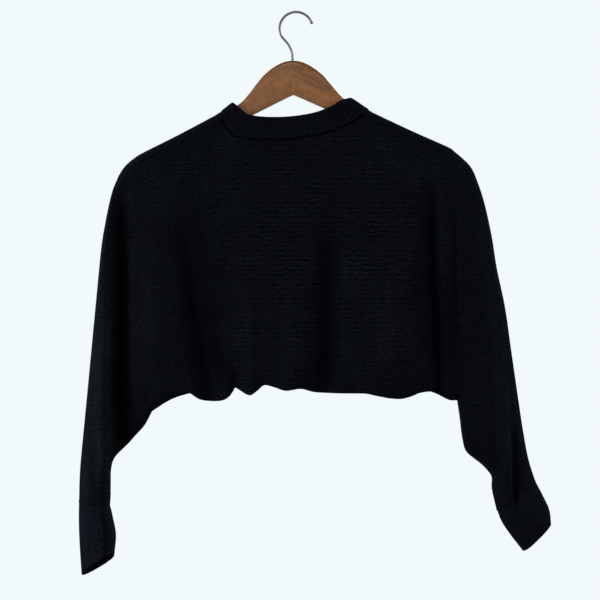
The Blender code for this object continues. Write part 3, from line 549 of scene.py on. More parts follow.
def read_at(rows, columns, where):
    """Columns of a table by their names, read at values of its first column."""
    dense = read_table(rows, columns, np.linspace(0, len(rows) - 1, TABLE_STEPS * len(rows)))
    return {name: np.interp(where, dense[columns[0]], dense[name]) for name in columns}


def edge_points(row, x, y, z):
    """Points from three named columns."""
    return np.stack([row[x], row[y], row[z]], axis=-1)


def once_round(back, front):
    """A closed ring: along the back's row, and home along the front's without its two ends."""
    return np.concatenate([back, front[-2:0:-1]])


def ease(value):
    """0 to 1 with level ends."""
    value = np.clip(value, 0.0, 1.0)
    return value * value * (3 - 2 * value)


def even_out(values, axis, ring=False):
    """Each value with its two neighbours along an axis, 1 : 2 : 1. Only a ring's ends change."""
    even = 0.25 * (np.roll(values, 1, axis=axis) + 2 * values + np.roll(values, -1, axis=axis))
    if not ring:
        ends = (slice(None),) * axis + ((0, -1),)
        even[ends] = values[ends]
    return even


def unit(vectors):
    """Vectors of length 1 in the same directions."""
    return vectors / np.linalg.norm(vectors, axis=-1, keepdims=True)


# ---- hanger shape -----------------------------------------------------------------------
def turn_wood(out, down, side):
    """A point of one arm, from the middle and the wood's top to x and z in the frame."""
    tilt = math.radians(WOOD_TILT)
    across = side * np.asarray(out, float)
    down = np.asarray(down, float)
    return (WOOD_TOP[0] + across * math.cos(tilt) - down * math.sin(tilt),
            WOOD_TOP[1] + across * math.sin(tilt) + down * math.cos(tilt))


def shoulder_edge(out, side, wall):
    """Overarm edge where the cloth lies along the top of one arm."""
    lift = wall + SHOULDER_CLEARANCE[side]
    step = 2.0
    before, upper, after = (read_at(ARM, ARM_COLUMNS, out + shift)["upper"]
                            for shift in (-step, 0.0, step))
    slope = np.arctan2(after - before, 2 * step)
    return turn_wood(out - lift * np.sin(slope), upper + lift * np.cos(slope), side)


# ---- cloth shape ------------------------------------------------------------------------
def make_stations(wall):
    """Edges and depths of every station, from the left cuff seam to the right one."""
    stations = {key: [] for key in ("over_back", "over_front", "under_back", "under_front",
                                    "start_z", "middle", "depth_top", "depth_low", "open_low",
                                    "rounding")}

    def add(*values):
        """Adds one value for each of the stations' keys, in their order."""
        for key, value in zip(stations, values):
            stations[key].append(np.asarray(value, float))

    def add_sleeve(table, side, corner):
        """Stations of a sleeve; on the left they run from the cuff to the body."""
        tip_x, tip_z = shoulder_edge(np.array([SHOULDER_END]), side, wall)
        first = (tip_x[0], tip_z[0], corner[0], corner[1], 0.0, CORNER_HALF_DEPTH)
        places = np.linspace(0, len(table), SLEEVE_STEPS + 1)[::side]
        row = read_table((first,) + table, SLEEVE_COLUMNS, places)
        over = edge_points(row, "over_x", "middle_y", "over_z")
        under = edge_points(row, "under_x", "middle_y", "under_z")
        rounding = 1 + (ROUNDING[side] - 1) * ease(places / ROUNDING_ROWS)
        add(over, over, under, under, row["over_z"], row["middle_y"], row["half_depth"],
            row["half_depth"], np.zeros(len(over)), rounding)

    def add_body(over_back, over_front, hem_x, start_z, depth_top):
        """Stations from the shoulder or the neck down to the open hem."""
        place = 2 * (hem_x - HEM_LEFT) / (HEM_RIGHT - HEM_LEFT) - 1
        swell = np.sqrt(np.clip(1 - place ** 4, 0.0, 1.0))
        open_low = HEM_HALF_DEPTH * swell
        depth_low = CORNER_HALF_DEPTH + (HEM_HALF_DEPTH - CORNER_HALF_DEPTH) * swell
        flat = np.zeros(len(hem_x))
        hem = [np.stack([hem_x, flat, read_at(rows, LINE_COLUMNS, hem_x)["z"]], axis=-1)
               for rows in (HEM_BACK, HEM_FRONT)]
        add(over_back, over_front, hem[0], hem[1], start_z, flat, depth_top, depth_low,
            open_low, np.ones(len(hem_x)))

    def shoulder(side, near, hem_near, hem_far):
        """Overarm edge along one arm of the hanger, and the hem below it."""
        out = np.linspace(SHOULDER_END, near, SHOULDER_STEPS + 1)[1:]
        hem_x = np.linspace(hem_far, hem_near, SHOULDER_STEPS + 1)[1:]
        x, z = shoulder_edge(out, side, wall)
        return np.stack([x, np.zeros(len(x)), z], axis=-1), hem_x

    add_sleeve(LEFT_SLEEVE, -1, HEM_BACK[0])
    over, hem_x = shoulder(-1, NECK_LEFT, HEM_BELOW_NECK_LEFT, HEM_LEFT)
    add_body(over, over, hem_x, over[:, 2], np.full(len(hem_x), SHOULDER_HALF_DEPTH))
    ends = [shoulder_edge(np.array([near]), side, wall)
            for near, side in ((NECK_LEFT, -1), (NECK_RIGHT, 1))]
    ends = [(x[0], 0.0, z[0]) for x, z in ends]
    places = np.linspace(1, len(NECK_BACK) + 2, NECK_STEPS + 1)
    seams = []
    tops = []
    for table, other in ((NECK_BACK, NECK_FRONT), (NECK_FRONT, NECK_BACK)):
        rows = (other[0], ends[0] + NECK_TOP_LEFT) + table \
            + (ends[1] + NECK_TOP_RIGHT, other[-1])
        row = read_table(rows, NECK_COLUMNS, places)
        seams.append(edge_points(row, "seam_x", "seam_y", "seam_z"))
        tops.append(edge_points(row, "top_x", "top_y", "top_z"))
    hem_x = np.linspace(HEM_BELOW_NECK_LEFT, HEM_BELOW_NECK_RIGHT, NECK_STEPS + 1)
    start_z = np.linspace(ends[0][2], ends[1][2], NECK_STEPS + 1)
    across = np.interp(seams[0][:, 0], [ends[0][0], ends[1][0]], [-math.pi, math.pi])
    depth_top = SHOULDER_HALF_DEPTH \
        + (NECK_HALF_DEPTH - SHOULDER_HALF_DEPTH) * 0.5 * (1 + np.cos(across))
    add_body(seams[0][1:-1], seams[1][1:-1], hem_x[1:-1], start_z[1:-1], depth_top[1:-1])
    over, hem_x = shoulder(1, NECK_RIGHT, HEM_BELOW_NECK_RIGHT, HEM_RIGHT)
    add_body(over[::-1], over[::-1], hem_x[::-1], over[::-1, 2],
             np.full(len(hem_x), SHOULDER_HALF_DEPTH))
    add_sleeve(RIGHT_SLEEVE, 1, HEM_BACK[-1])
    neck = slice(SLEEVE_STEPS + SHOULDER_STEPS, SLEEVE_STEPS + SHOULDER_STEPS + NECK_STEPS + 1)
    return {key: np.concatenate(value) for key, value in stations.items()}, neck, tops


def fold_push(layer, x, z):
    """How far the large folds of a layer, or of both, push it towards +Y at a place."""
    push = np.zeros(np.shape(x))
    for row in FOLDS.get(layer, ()):
        fold = dict(zip(FOLD_COLUMNS, row))
        along = (fold["z_top"] - z) / (fold["z_top"] - fold["z_low"])
        down = np.clip(along, 0.0, 1.0)
        bend = 4 * fold["x_middle"] - 2 * fold["x_top"] - 2 * fold["x_low"]
        centre = fold["x_top"] + (fold["x_low"] - fold["x_top"]) * down \
            + bend * down * (1 - down)
        width = fold["width_top"] + (fold["width_low"] - fold["width_top"]) * down
        depth = fold["push_top"] + (fold["push_low"] - fold["push_top"]) * down
        across = np.clip(np.abs(x - centre) / width, 0.0, 1.0)
        fade = ease(along / FADE_IN) * ease((1.0 - along) / FADE_OUT)
        push += depth * fade * 0.5 * (1 + np.cos(math.pi * across))
    return push


def crease_rise(layer, x, z):
    """How far the small creases of a layer lift it out of the cloth at a place."""
    rise = np.zeros(np.shape(x))
    line = np.linspace(0, 1, CREASE_PIECES + 1)
    for row in CREASES[layer]:
        crease = dict(zip(CREASE_COLUMNS, row))
        near_x, near_z = (
            crease[axis + "_top"] * (1 - line) * (1 - 2 * line)
            + 4 * crease[axis + "_middle"] * line * (1 - line)
            + crease[axis + "_low"] * line * (2 * line - 1) for axis in ("x", "z"))
        distance = np.full(np.shape(x), np.inf)
        along = np.zeros(np.shape(x))
        for step in range(CREASE_PIECES):
            start = np.array([near_x[step], near_z[step]])
            way = np.array([near_x[step + 1], near_z[step + 1]]) - start
            part = ((x - start[0]) * way[0] + (z - start[1]) * way[1]) / (way @ way)
            part = np.clip(part, 0.0, 1.0)
            gap = np.hypot(x - start[0] - part * way[0], z - start[1] - part * way[1])
            along = np.where(gap < distance, line[step] + part * line[1], along)
            distance = np.minimum(gap, distance)
        width = crease["width_top"] + (crease["width_low"] - crease["width_top"]) * along
        height = crease["height_top"] + (crease["height_low"] - crease["height_top"]) * along
        fade = ease(along / CREASE_FADE_IN) * ease((1 - along) / CREASE_FADE_OUT)
        rise += height * fade * np.exp(-(distance / width) ** crease["steep"])
    return rise


def section_rows(over, under, start_z, middle, depth_top, depth_low, open_low, rounding,
                 layer, crease_layer, crease, side_steps):
    """One layer of every station: stations by rows, from the top edge to the low edge."""
    sign = -1.0 if layer == "back" else 1.0
    length = np.linalg.norm((under - over)[:, (0, 2)], axis=-1)
    open_top = np.abs(over[:, 1] - middle)
    slanted = (rounding - 1) / (FULL_ROUNDING - 1)
    over_wood = np.sqrt(np.clip(SHOULDER_HALF_DEPTH ** 2 - open_top ** 2, NECK_CAP ** 2, None))
    cap_top = np.minimum(np.where(open_top > 0, over_wood, rounding * depth_top),
                         (CAP_SHARE + (ROUNDING_SHARE - CAP_SHARE) * slanted) * length)
    cap_low = np.minimum(np.maximum(HEM_CAP * open_low / HEM_HALF_DEPTH, depth_low),
                         CAP_SHARE * length * (1 - LOW_TRIM * slanted))
    proud = np.where(open_top > 0, np.maximum(open_top + NECK_EASE - depth_top, 0.0), 0.0)
    turn = np.linspace(0, math.pi / 2, CAP_STEPS + 1)
    side = np.linspace(0, 1, side_steps + 1)[1:-1]
    places = np.concatenate([
        cap_top[:, None] * (1 - np.cos(turn))[None, :],
        cap_top[:, None] + (length - cap_top - cap_low)[:, None] * side[None, :],
        length[:, None] - cap_low[:, None] * (1 - np.cos(turn))[None, ::-1],
    ], axis=1)
    share = places / length[:, None]
    x = over[:, None, 0] + (under - over)[:, None, 0] * share
    z = over[:, None, 2] + (under - over)[:, None, 2] * share
    fallen = (start_z[:, None] - z) / (start_z - under[:, 2])[:, None]
    depth = depth_top[:, None] + (depth_low - depth_top)[:, None] * ease(fallen) \
        + proud[:, None] * ease(1 - places / NECK_REACH)
    own_folds = np.ones(places.shape)
    for cap, open_end, reach in ((cap_top, open_top, places),
                                 (cap_low, open_low, length[:, None] - places)):
        near = np.clip(1 - reach / cap[:, None], 0.0, 1.0)
        square = open_end[:, None] ** 2 + (depth ** 2 - open_end[:, None] ** 2) * (1 - near ** 2)
        depth = np.sqrt(np.clip(square, 0.0, None))
        own_folds *= np.where(open_end[:, None] > 0, 1.0, 1 - near ** 2)
    # Away from the seams, sections of unlike depth flow into each other.
    inner = ease((places - SMOOTH_START) / SMOOTH_REACH) \
        * ease((length[:, None] - places - SMOOTH_START) / SMOOTH_REACH)
    for _ in range(SMOOTH_PASSES):
        depth += (even_out(depth, 0) - depth) * inner
    y = middle[:, None] + sign * depth + fold_push("both", x, z) + own_folds * (
        fold_push(layer, x, z) + sign * crease * crease_rise(crease_layer, x, z))
    return np.stack([x, y, z], axis=-1)


def relax(normals, passes):
    """Normals of a grid, evened out between neighbours so that a thick wall stays whole."""
    for axis in passes * (0, 1):
        ends = [np.take(normals, [end], axis=axis) for end in (0, -1)]
        wide = np.concatenate([ends[0], normals, ends[1]], axis=axis)
        count = normals.shape[axis]
        before, after = (np.take(wide, np.arange(count) + shift, axis=axis) for shift in (0, 2))
        normals = unit(before + 2 * normals + after)
    return normals


def fold_crown(layer, x, z):
    """Where a layer stands on the crown of its folds (1) or lies in a hollow (-1), which the knit's
    colour takes as painted light and shade.
    """
    sign = -1.0 if layer == "back" else 1.0
    push = sign * (fold_push(layer, x, z) + fold_push("both", x, z))
    return np.clip(push / CROWN_PUSH + crease_rise(layer, x, z) / CROWN_RISE, -1.0, 1.0)


def layer_normals(grid, neck, layer):
    """Outward normals of a layer. Below the neck its close sections keep to their planes."""
    sign = -1.0 if layer == "back" else 1.0
    along = np.gradient(grid, axis=1)
    normals = unit(np.cross(np.gradient(grid, axis=0), along))
    normals *= sign * np.sign(normals[..., 1].mean())
    down = unit((grid[:, -1:] - grid[:, :1]) * np.array([1.0, 0.0, 1.0]))
    falling = np.sum(along * down, axis=-1, keepdims=True)
    in_plane = sign * unit(falling * np.array([0.0, 1.0, 0.0]) - along[..., 1:2] * down)
    numbers = np.arange(len(grid))
    outside = np.maximum(neck.start - numbers, numbers - neck.stop + 1)
    share = ease(1 - outside / NECK_BLEND)[:, None, None]
    return relax(unit(normals + (in_plane - normals) * share), NORMAL_PASSES)


def make_panels(wall, crease):
    """Outer points and normals of back and front, with shared normals at their seams."""
    stations, neck, tops = make_stations(wall)
    shared = [stations[key] for key in ("start_z", "middle", "depth_top", "depth_low",
                                        "open_low", "rounding")]
    grids = {}
    for layer in ("back", "front"):
        points = section_rows(stations["over_" + layer], stations["under_" + layer], *shared,
                              layer, layer, crease, SIDE_STEPS)
        grids[layer] = (points, layer_normals(points, neck, layer))
    numbers = np.arange(len(stations["middle"]))
    top_seam = (numbers <= neck.start) | (numbers >= neck.stop - 1)
    low_seam = (numbers <= SLEEVE_STEPS) | (numbers >= len(numbers) - 1 - SLEEVE_STEPS)
    for seam, row, step in ((top_seam, 0, 1), (low_seam, -1, -1)):
        mean = unit(grids["back"][1][seam, row] + grids["front"][1][seam, row])
        for points, normals in grids.values():
            normals[seam, row] = mean
            inward = unit(points[seam, row + step] - points[seam, row])
            points[seam, row] += 0.5 * SEAM_GAP * inward
    return grids, neck, tops


# ---- meshes -----------------------------------------------------------------------------
def new_piece(name, vertices, faces, material, uv=None, crown=None):
    """Piece from points in mm, with each point's place on the knit, in mm, and how far it
    stands on the crown of a fold (1) or in a hollow (-1)."""
    mesh = bpy.data.meshes.new(name)
    mesh.from_pydata((np.asarray(vertices, float) * MM).tolist(), [], faces)
    if uv is not None:
        layer = mesh.uv_layers.new(name="knit")
        corners = np.empty(len(mesh.loops), np.int32)
        mesh.loops.foreach_get("vertex_index", corners)
        layer.data.foreach_set("uv", (np.asarray(uv) * UV_SCALE)[corners].ravel())
    if crown is not None:
        mesh.attributes.new("crown", "FLOAT", "POINT").data.foreach_set("value", crown)
    bm = bmesh.new()
    bm.from_mesh(mesh)
    bmesh.ops.recalc_face_normals(bm, faces=bm.faces)
    bm.to_mesh(mesh)
    bm.free()
    mesh.shade_smooth()
    obj = bpy.data.objects.new(name, mesh)
    bpy.context.scene.collection.objects.link(obj)
    obj.data.materials.append(material)
    return obj


def knit_places(points):
    """Places on the knit, in mm: x and z, opened out where the cloth turns away in depth."""
    step = np.diff(points, axis=1)
    travelled = np.cumsum(np.linalg.norm(step, axis=-1), axis=1)
    flat = np.cumsum(np.linalg.norm(step[..., (0, 2)], axis=-1), axis=1)
    excess = np.concatenate([np.zeros((len(points), 1)), travelled - flat], axis=1)
    excess -= excess[:, excess.shape[1] // 2][:, None]
    down = unit((points[:, -1] - points[:, 0])[:, (0, 2)])
    return points[..., (0, 2)] + excess[..., None] * down[:, None, :]


def round_rim(outer, inner, axis, end):
    """Middle of a wall's edge, with the wall's two sides drawn back from it."""
    at = [slice(None)] * 3
    before = [slice(None)] * 3
    at[axis] = end
    before[axis] = 1 if end == 0 else -2
    at, before = tuple(at), tuple(before)
    middle = 0.5 * (outer[at] + inner[at])
    thick = np.linalg.norm(outer[at] - inner[at], axis=-1, keepdims=True)
    for side in (outer, inner):
        back = side[before] - side[at]
        step = np.linalg.norm(back, axis=-1, keepdims=True)
        side[at] += back * np.minimum(RIM_SHARE * thick / np.maximum(step, 1e-6), RIM_STEP)
    return middle


def settle_inner(outer, inner, ring):
    """Evens out the inner wall where a sharp fold would make it double back on itself."""
    inner = inner.copy()
    for _ in range(INNER_PASSES):
        loose = np.zeros(outer.shape[:2], bool)
        for axis in (0, 1):
            step_out, step_in = (np.roll(side, -1, axis=axis) - side for side in (outer, inner))
            doubled = np.sum(step_out * step_in, axis=-1) \
                < INNER_SHARE * np.sum(step_out ** 2, axis=-1)
            if axis == 1 or not ring:
                doubled[(slice(None),) * axis + (-1,)] = False
            for shift in range(-2, 4):
                loose |= np.roll(doubled, shift, axis=axis)
        if not loose.any():
            break
        inner[loose] = even_out(even_out(inner, 0, ring), 1)[loose]
    return inner


def add_wall(name, outer, inner, material, crown, ring=False):
    """Closed wall with rounded edges between two grids; `ring` joins its first and last rows."""
    outer = outer.copy()
    inner = settle_inner(outer, inner, ring)
    uv = knit_places(outer)
    rows, columns = outer.shape[:2]
    top = round_rim(outer, inner, 1, 0)
    low = round_rim(outer, inner, 1, -1)
    size = rows * columns
    vertices = [outer.reshape(-1, 3), inner.reshape(-1, 3), top, low]
    places = [uv.reshape(-1, 2), uv.reshape(-1, 2), uv[:, 0], uv[:, -1]]
    crowns = [crown.ravel(), np.zeros(size), crown[:, 0], crown[:, -1]]
    number = np.arange(size).reshape(rows, columns)
    after = np.roll(number, -1, axis=0)
    last = rows if ring else rows - 1
    here, there = number[:last], after[:last]
    quads = np.stack([here[:, :-1], there[:, :-1], there[:, 1:], here[:, 1:]], axis=-1)
    quads = quads.reshape(-1, 4)
    faces = [quads, quads[:, ::-1] + size]
    for column, start in ((0, 2 * size), (-1, 2 * size + rows)):
        rim = start + np.arange(rows)
        rim_after = np.roll(rim, -1)[:last]
        rim = rim[:last]
        out_a, out_b = here[:, column], there[:, column]
        faces.append(np.stack([out_b, out_a, rim, rim_after], axis=-1))
        faces.append(np.stack([rim_after, rim, out_a + size, out_b + size], axis=-1))
    faces = np.concatenate(faces).tolist()
    if not ring:
        for row in (0, -1):
            edge = number[row]
            rims = (2 * size + (rows - 1 if row else 0), 2 * size + rows + (rows - 1 if row else 0))
            faces += [[edge[c], edge[c + 1], edge[c + 1] + size, edge[c] + size]
                      for c in range(columns - 1)]
            faces.append([rims[0], edge[0], edge[0] + size])
            faces.append([rims[1], edge[-1], edge[-1] + size])
    return new_piece(name, np.concatenate(vertices), faces, material, np.concatenate(places),
                     np.concatenate(crowns))


def add_closed_grid(name, rings, material, uv=None, ends=False):
    """Loft through closed rings; `ends` caps it, and otherwise it joins up all round."""
    rows, columns = rings.shape[:2]
    number = np.arange(rows * columns).reshape(rows, columns)
    here, there = number, np.roll(number, -1, axis=0)
    if ends:
        here, there = here[:-1], there[:-1]
    faces = np.stack([here, there, np.roll(there, -1, axis=1), np.roll(here, -1, axis=1)],
                     axis=-1).reshape(-1, 4).tolist()
    if ends:
        faces += [number[0].tolist(), number[-1, ::-1].tolist()]
    return new_piece(name, rings.reshape(-1, 3), faces, material, uv)


# ---- materials --------------------------------------------------------------------------
MATH = "ShaderNodeMath"
NOISE = "ShaderNodeTexNoise"
RANGE = "ShaderNodeMapRange"


def node(tree, kind, inputs=(), **settings):
    """Adds a node with its settings; an input takes a value, a socket or a node's first output."""
    made = tree.nodes.new(kind)
    for name, value in settings.items():
        setattr(made, name, value)
    for key, value in dict(inputs).items():
        if isinstance(value, bpy.types.Node):
            value = value.outputs[0]
        if isinstance(value, bpy.types.NodeSocket):
            tree.links.new(value, made.inputs[key])
        else:
            made.inputs[key].default_value = value
    return made


def new_material(name, shader_values):
    """Material with an output and one shader; the node tree and the shader come with it."""
    material = bpy.data.materials.new(name)
    material.use_nodes = True
    tree = material.node_tree
    tree.nodes.clear()
    shader = node(tree, "ShaderNodeBsdfPrincipled", shader_values)
    node(tree, "ShaderNodeOutputMaterial", {"Surface": shader})
    return material, tree, shader


def knitted_wool(name, cloth, relief, courses, centre=(0.3, -3.1)):
    """Matt black knitted yarn. Hairy fibres trap light, so it has no gloss, a faint bluish
    sheen at its edges and specks of loose fibre. Rows of stitches catch the light in short
    dashes, most of them round `centre` on the knit's map. Painted light and shade: the
    crowns of its folds are painted a little lighter and the hollows darker."""
    material, tree, shader = new_material(name, {
        "Roughness": 0.95, "Specular IOR Level": 0.0, "IOR": 1.5,
        "Sheen Weight": 0.03, "Sheen Roughness": 0.4, "Sheen Tint": (0.75, 0.85, 1.0, 1.0)})
    place = node(tree, "ShaderNodeUVMap", uv_map="knit")
    split = node(tree, "ShaderNodeSeparateXYZ", {"Vector": place})
    across, up = split.outputs["X"], split.outputs["Y"]
    # Noises by scale, detail and roughness: wandering yarn, loose fibre, crowded patches, worn
    # patches and lint.
    wander, specks, patches, worn, fibres = (
        node(tree, NOISE, {"Vector": place, "Scale": scale, "Detail": detail, "Roughness": rough})
        for scale, detail, rough in ((9.0, 3.0, 0.6), (42.0, 4.0, 0.8), (3.2, 2.0, 0.5),
                                     (1.3, 4.0, 0.6), (61.0, 1.0, 0.5)))
    # One stitch is really about 2.4 mm wide, under two pixels of the render: drawn coarser.
    stitch = cloth.stitch / MM * UV_SCALE
    bent = node(tree, MATH, {0: wander, 1: 0.6 * stitch, 2: across}, operation="MULTIPLY_ADD")
    legs = node(tree, MATH, {0: bent, 1: stitch}, operation="PINGPONG")
    slanted = node(tree, MATH, {0: legs, 1: up}, operation="ADD")
    phase = node(tree, MATH, {0: slanted, 1: 2 * math.pi / stitch}, operation="MULTIPLY")
    stitches = node(tree, MATH, {0: phase}, operation="SINE")
    # Courses that stand out: a banded height that wanders, broken into dashes by a noise.
    course = cloth.course / MM * UV_SCALE
    bands = []
    for turns, sway, stretch, shift, low, high in (
            (2.0, 7.0, (13.0, 34.0, 1.0), 0.0, 0.49, 0.58),
            (4.3, 5.0, (22.0, 50.0, 1.0), 7.0, 0.50, 0.58)):
        swayed = node(tree, MATH, {0: wander, 1: sway}, operation="MULTIPLY")
        level = node(tree, MATH, {0: up, 1: turns * math.pi / course, 2: swayed},
                     operation="MULTIPLY_ADD")
        wave = node(tree, MATH, {0: level}, operation="SINE")
        moved = node(tree, "ShaderNodeMapping", {"Vector": place, "Scale": stretch,
                                                 "Location": (shift, shift, 0.0)})
        broken = node(tree, NOISE,
                      {"Vector": moved, "Scale": 1.0, "Detail": 2.0, "Roughness": 0.6})
        dashes = node(tree, RANGE, {"Value": broken, "From Min": low, "From Max": high})
        bands.append(node(tree, MATH, {0: wave, 1: dashes}, operation="MULTIPLY"))
    away = node(tree, "ShaderNodeVectorMath", {0: place, 1: (*centre, 0.0)}, operation="DISTANCE")
    edge = node(tree, MATH, {0: wander, 1: 1.2, 2: away.outputs["Value"]},
                operation="MULTIPLY_ADD")
    middle = node(tree, RANGE,
                  {"Value": edge, "From Min": 2.9, "From Max": 1.3,
                   "To Min": 0.25 * courses, "To Max": courses})
    lines = node(tree, MATH, {0: bands[0], 1: middle}, operation="MULTIPLY")
    thin = node(tree, MATH, {0: bands[1], 1: 0.5 * courses}, operation="MULTIPLY")
    marks = node(tree, MATH, {0: lines, 1: thin}, operation="ADD")
    fuzz = node(tree, MATH, {0: specks, 1: 1.6, 2: marks}, operation="MULTIPLY_ADD")
    height = node(tree, MATH, {0: stitches, 1: 0.3, 2: fuzz}, operation="MULTIPLY_ADD")
    bump = node(tree, "ShaderNodeBump", {"Height": height, "Strength": relief, "Distance": 0.0012})
    # Tone: marks where the stitches crowd, specks, wide worn patches and a little lint.
    crowd = node(tree, RANGE,
                 {"Value": patches, "From Min": 0.42, "From Max": 0.6,
                  "To Min": 0.2, "To Max": 0.8})
    ground = node(tree, MATH, {0: worn, 1: 0.5, 2: 0.14}, operation="MULTIPLY_ADD")
    freckles = node(tree, RANGE,
                    {"Value": specks, "From Min": 0.35, "From Max": 0.65,
                     "To Min": -0.45, "To Max": 0.55})
    freckled = node(tree, MATH, {0: ground, 1: freckles}, operation="ADD")
    marked = node(tree, MATH, {0: marks, 1: crowd, 2: freckled}, operation="MULTIPLY_ADD")
    kept = node(tree, MATH, {0: marked, 1: -0.1}, operation="MAXIMUM")
    # Painted light and shade: the tone is multiplied by the crown attribute, so the crowns of the
    # folds come out lighter and the hollows darker.
    crown = node(tree, "ShaderNodeAttribute", attribute_name="crown")
    painted_fold_shading = node(tree, MATH, {0: crown.outputs["Fac"], 1: cloth.painted_fold_shading, 2: 1.0},
                  operation="MULTIPLY_ADD")
    tone = node(tree, MATH, {0: kept, 1: painted_fold_shading}, operation="MULTIPLY")
    lint = node(tree, RANGE, {"Value": fibres, "From Min": 0.66, "From Max": 0.74})
    whole = node(tree, MATH, {0: lint, 1: 0.9, 2: tone}, operation="MULTIPLY_ADD")
    colour = node(tree, "ShaderNodeMix",
                  {0: whole, 6: (*cloth.dark, 1.0), 7: (*cloth.light, 1.0)},
                  data_type="RGBA", clamp_factor=False)
    tree.links.new(colour.outputs[2], shader.inputs["Base Color"])
    tree.links.new(bump.outputs["Normal"], shader.inputs["Normal"])
    return material


def stained_beech(name, hanger, slope):
    """Stained and lacquered beech: a warm brown, blotched where the stain took unevenly, with
    fine dark grain along the arm, short flecks and a smooth clear coat with soft highlights."""
    material, tree, shader = new_material(name, {
        "Roughness": 0.4, "Specular IOR Level": 0.3, "IOR": 1.5,
        "Coat Weight": 0.18, "Coat Roughness": 0.16, "Coat IOR": 1.5})
    place = node(tree, "ShaderNodeTexCoord").outputs["Object"]
    along = node(tree, "ShaderNodeMapping",
                 {"Vector": place, "Rotation": (0.0, math.radians(slope), 0.0)})
    # Annual rings run about 4 mm apart and 70 mm long, flecks 0.7 mm by 4 mm.
    drawn = node(tree, "ShaderNodeMapping", {"Vector": along, "Scale": (14.0, 240.0, 240.0)})
    rings = node(tree, NOISE,
                 {"Vector": drawn, "Scale": 1.0, "Detail": 5.0, "Roughness": 0.6,
                  "Distortion": 0.4})
    streaked = node(tree, "ShaderNodeMapping", {"Vector": along, "Scale": (260.0, 1500.0, 1500.0)})
    flecks = node(tree, NOISE, {"Vector": streaked, "Scale": 1.0, "Detail": 2.0})
    cloudy = node(tree, NOISE, {"Vector": along, "Scale": 120.0, "Detail": 3.0})
    grain = node(tree, RANGE, {"Value": rings, "From Min": 0.4, "From Max": 0.66, "To Max": 0.8})
    marks = node(tree, RANGE, {"Value": flecks, "From Min": 0.58, "From Max": 0.7, "To Max": 0.3})
    blotch = node(tree, RANGE,
                  {"Value": cloudy, "From Min": 0.35, "From Max": 0.68, "To Max": 0.4})
    both = node(tree, MATH, {0: grain, 1: marks}, operation="MAXIMUM")
    # Painted shade: the wood is painted darker towards its top, from 28 mm below it.
    split = node(tree, "ShaderNodeSeparateXYZ", {"Vector": place})
    painted_top_shade = node(tree, RANGE,
                 {"Value": split.outputs["Z"], "From Min": -0.09, "From Max": -0.062,
                  "To Max": 0.3})
    shade = node(tree, MATH, {0: both, 1: 0.6, 2: blotch}, operation="MULTIPLY_ADD")
    deep = node(tree, MATH, {0: shade, 1: painted_top_shade}, operation="ADD")
    colour = node(tree, "ShaderNodeMix",
                  {0: deep, 6: (*hanger.wood, 1.0), 7: (*hanger.grain, 1.0)},
                  data_type="RGBA")
    rough = node(tree, RANGE, {"Value": cloudy, "To Min": 0.32, "To Max": 0.5})
    bump = node(tree, "ShaderNodeBump", {"Height": both, "Strength": 0.2, "Distance": 0.0002})
    tree.links.new(colour.outputs[2], shader.inputs["Base Color"])
    tree.links.new(rough.outputs["Result"], shader.inputs["Roughness"])
    tree.links.new(bump.outputs["Normal"], shader.inputs["Normal"])
    return material


def plated_steel(name, hanger):
    """Nickel-plated steel wire, drawn and bent: a soft grey shine, duller where it has been
    handled."""
    material, tree, shader = new_material(name, {
        "Base Color": (*hanger.steel, 1.0), "Metallic": 1.0, "Roughness": 0.38})
    place = node(tree, "ShaderNodeTexCoord").outputs["Object"]
    haze = node(tree, NOISE, {"Vector": place, "Scale": 90.0, "Detail": 2.0})
    rough = node(tree, RANGE,
                 {"Value": haze, "From Min": 0.3, "From Max": 0.7, "To Min": 0.32,
                  "To Max": 0.5})
    tree.links.new(rough.outputs["Result"], shader.inputs["Roughness"])
    return material


def linking_yarn(name, cloth):
    """Black spun yarn, pulled smooth in the seams: matt, hardly any fuzz, its twist too fine to
    show, a little mottled between the cloth's shade and its top."""
    material, tree, shader = new_material(name, {
        "Roughness": 0.95, "Specular IOR Level": 0.0, "Sheen Weight": 0.03,
        "Sheen Roughness": 0.4})
    place = node(tree, "ShaderNodeTexCoord").outputs["Object"]
    spun = node(tree, NOISE, {"Vector": place, "Scale": 500.0})
    colour = node(tree, "ShaderNodeMix",
                  {0: spun, 6: (*cloth.dark, 1.0), 7: (*cloth.light, 1.0)}, data_type="RGBA")
    tree.links.new(colour.outputs[2], shader.inputs["Base Color"])
    return material


def painted_shade_yarn(name, cloth):
    """The same yarn pressed flat under the neckband's edge, with painted shade: a quarter of the
    cloth's darkest colour, so dark that it reads as a line.
    """
    return new_material(name, {
        "Base Color": (*(0.25 * value for value in cloth.dark), 1.0), "Roughness": 1.0,
        "Specular IOR Level": 0.0})[0]


def backdrop_paper(name, stage):
    """Matt paper with a light of its own: an even pale ground that shows no shadow."""
    return new_material(name, {
        "Base Color": (0.0, 0.0, 0.0, 1.0), "Roughness": 1.0, "Specular IOR Level": 0.0,
        "Emission Color": (*stage.backdrop, 1.0), "Emission Strength": 1.0})[0]


def finish_piece(obj, slot, solid=True):
    """Hangs the piece on the part's body and hides the solid that it replaces, if it replaces one.
    """
    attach(obj, "root")
    if solid:
        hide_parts(slot)


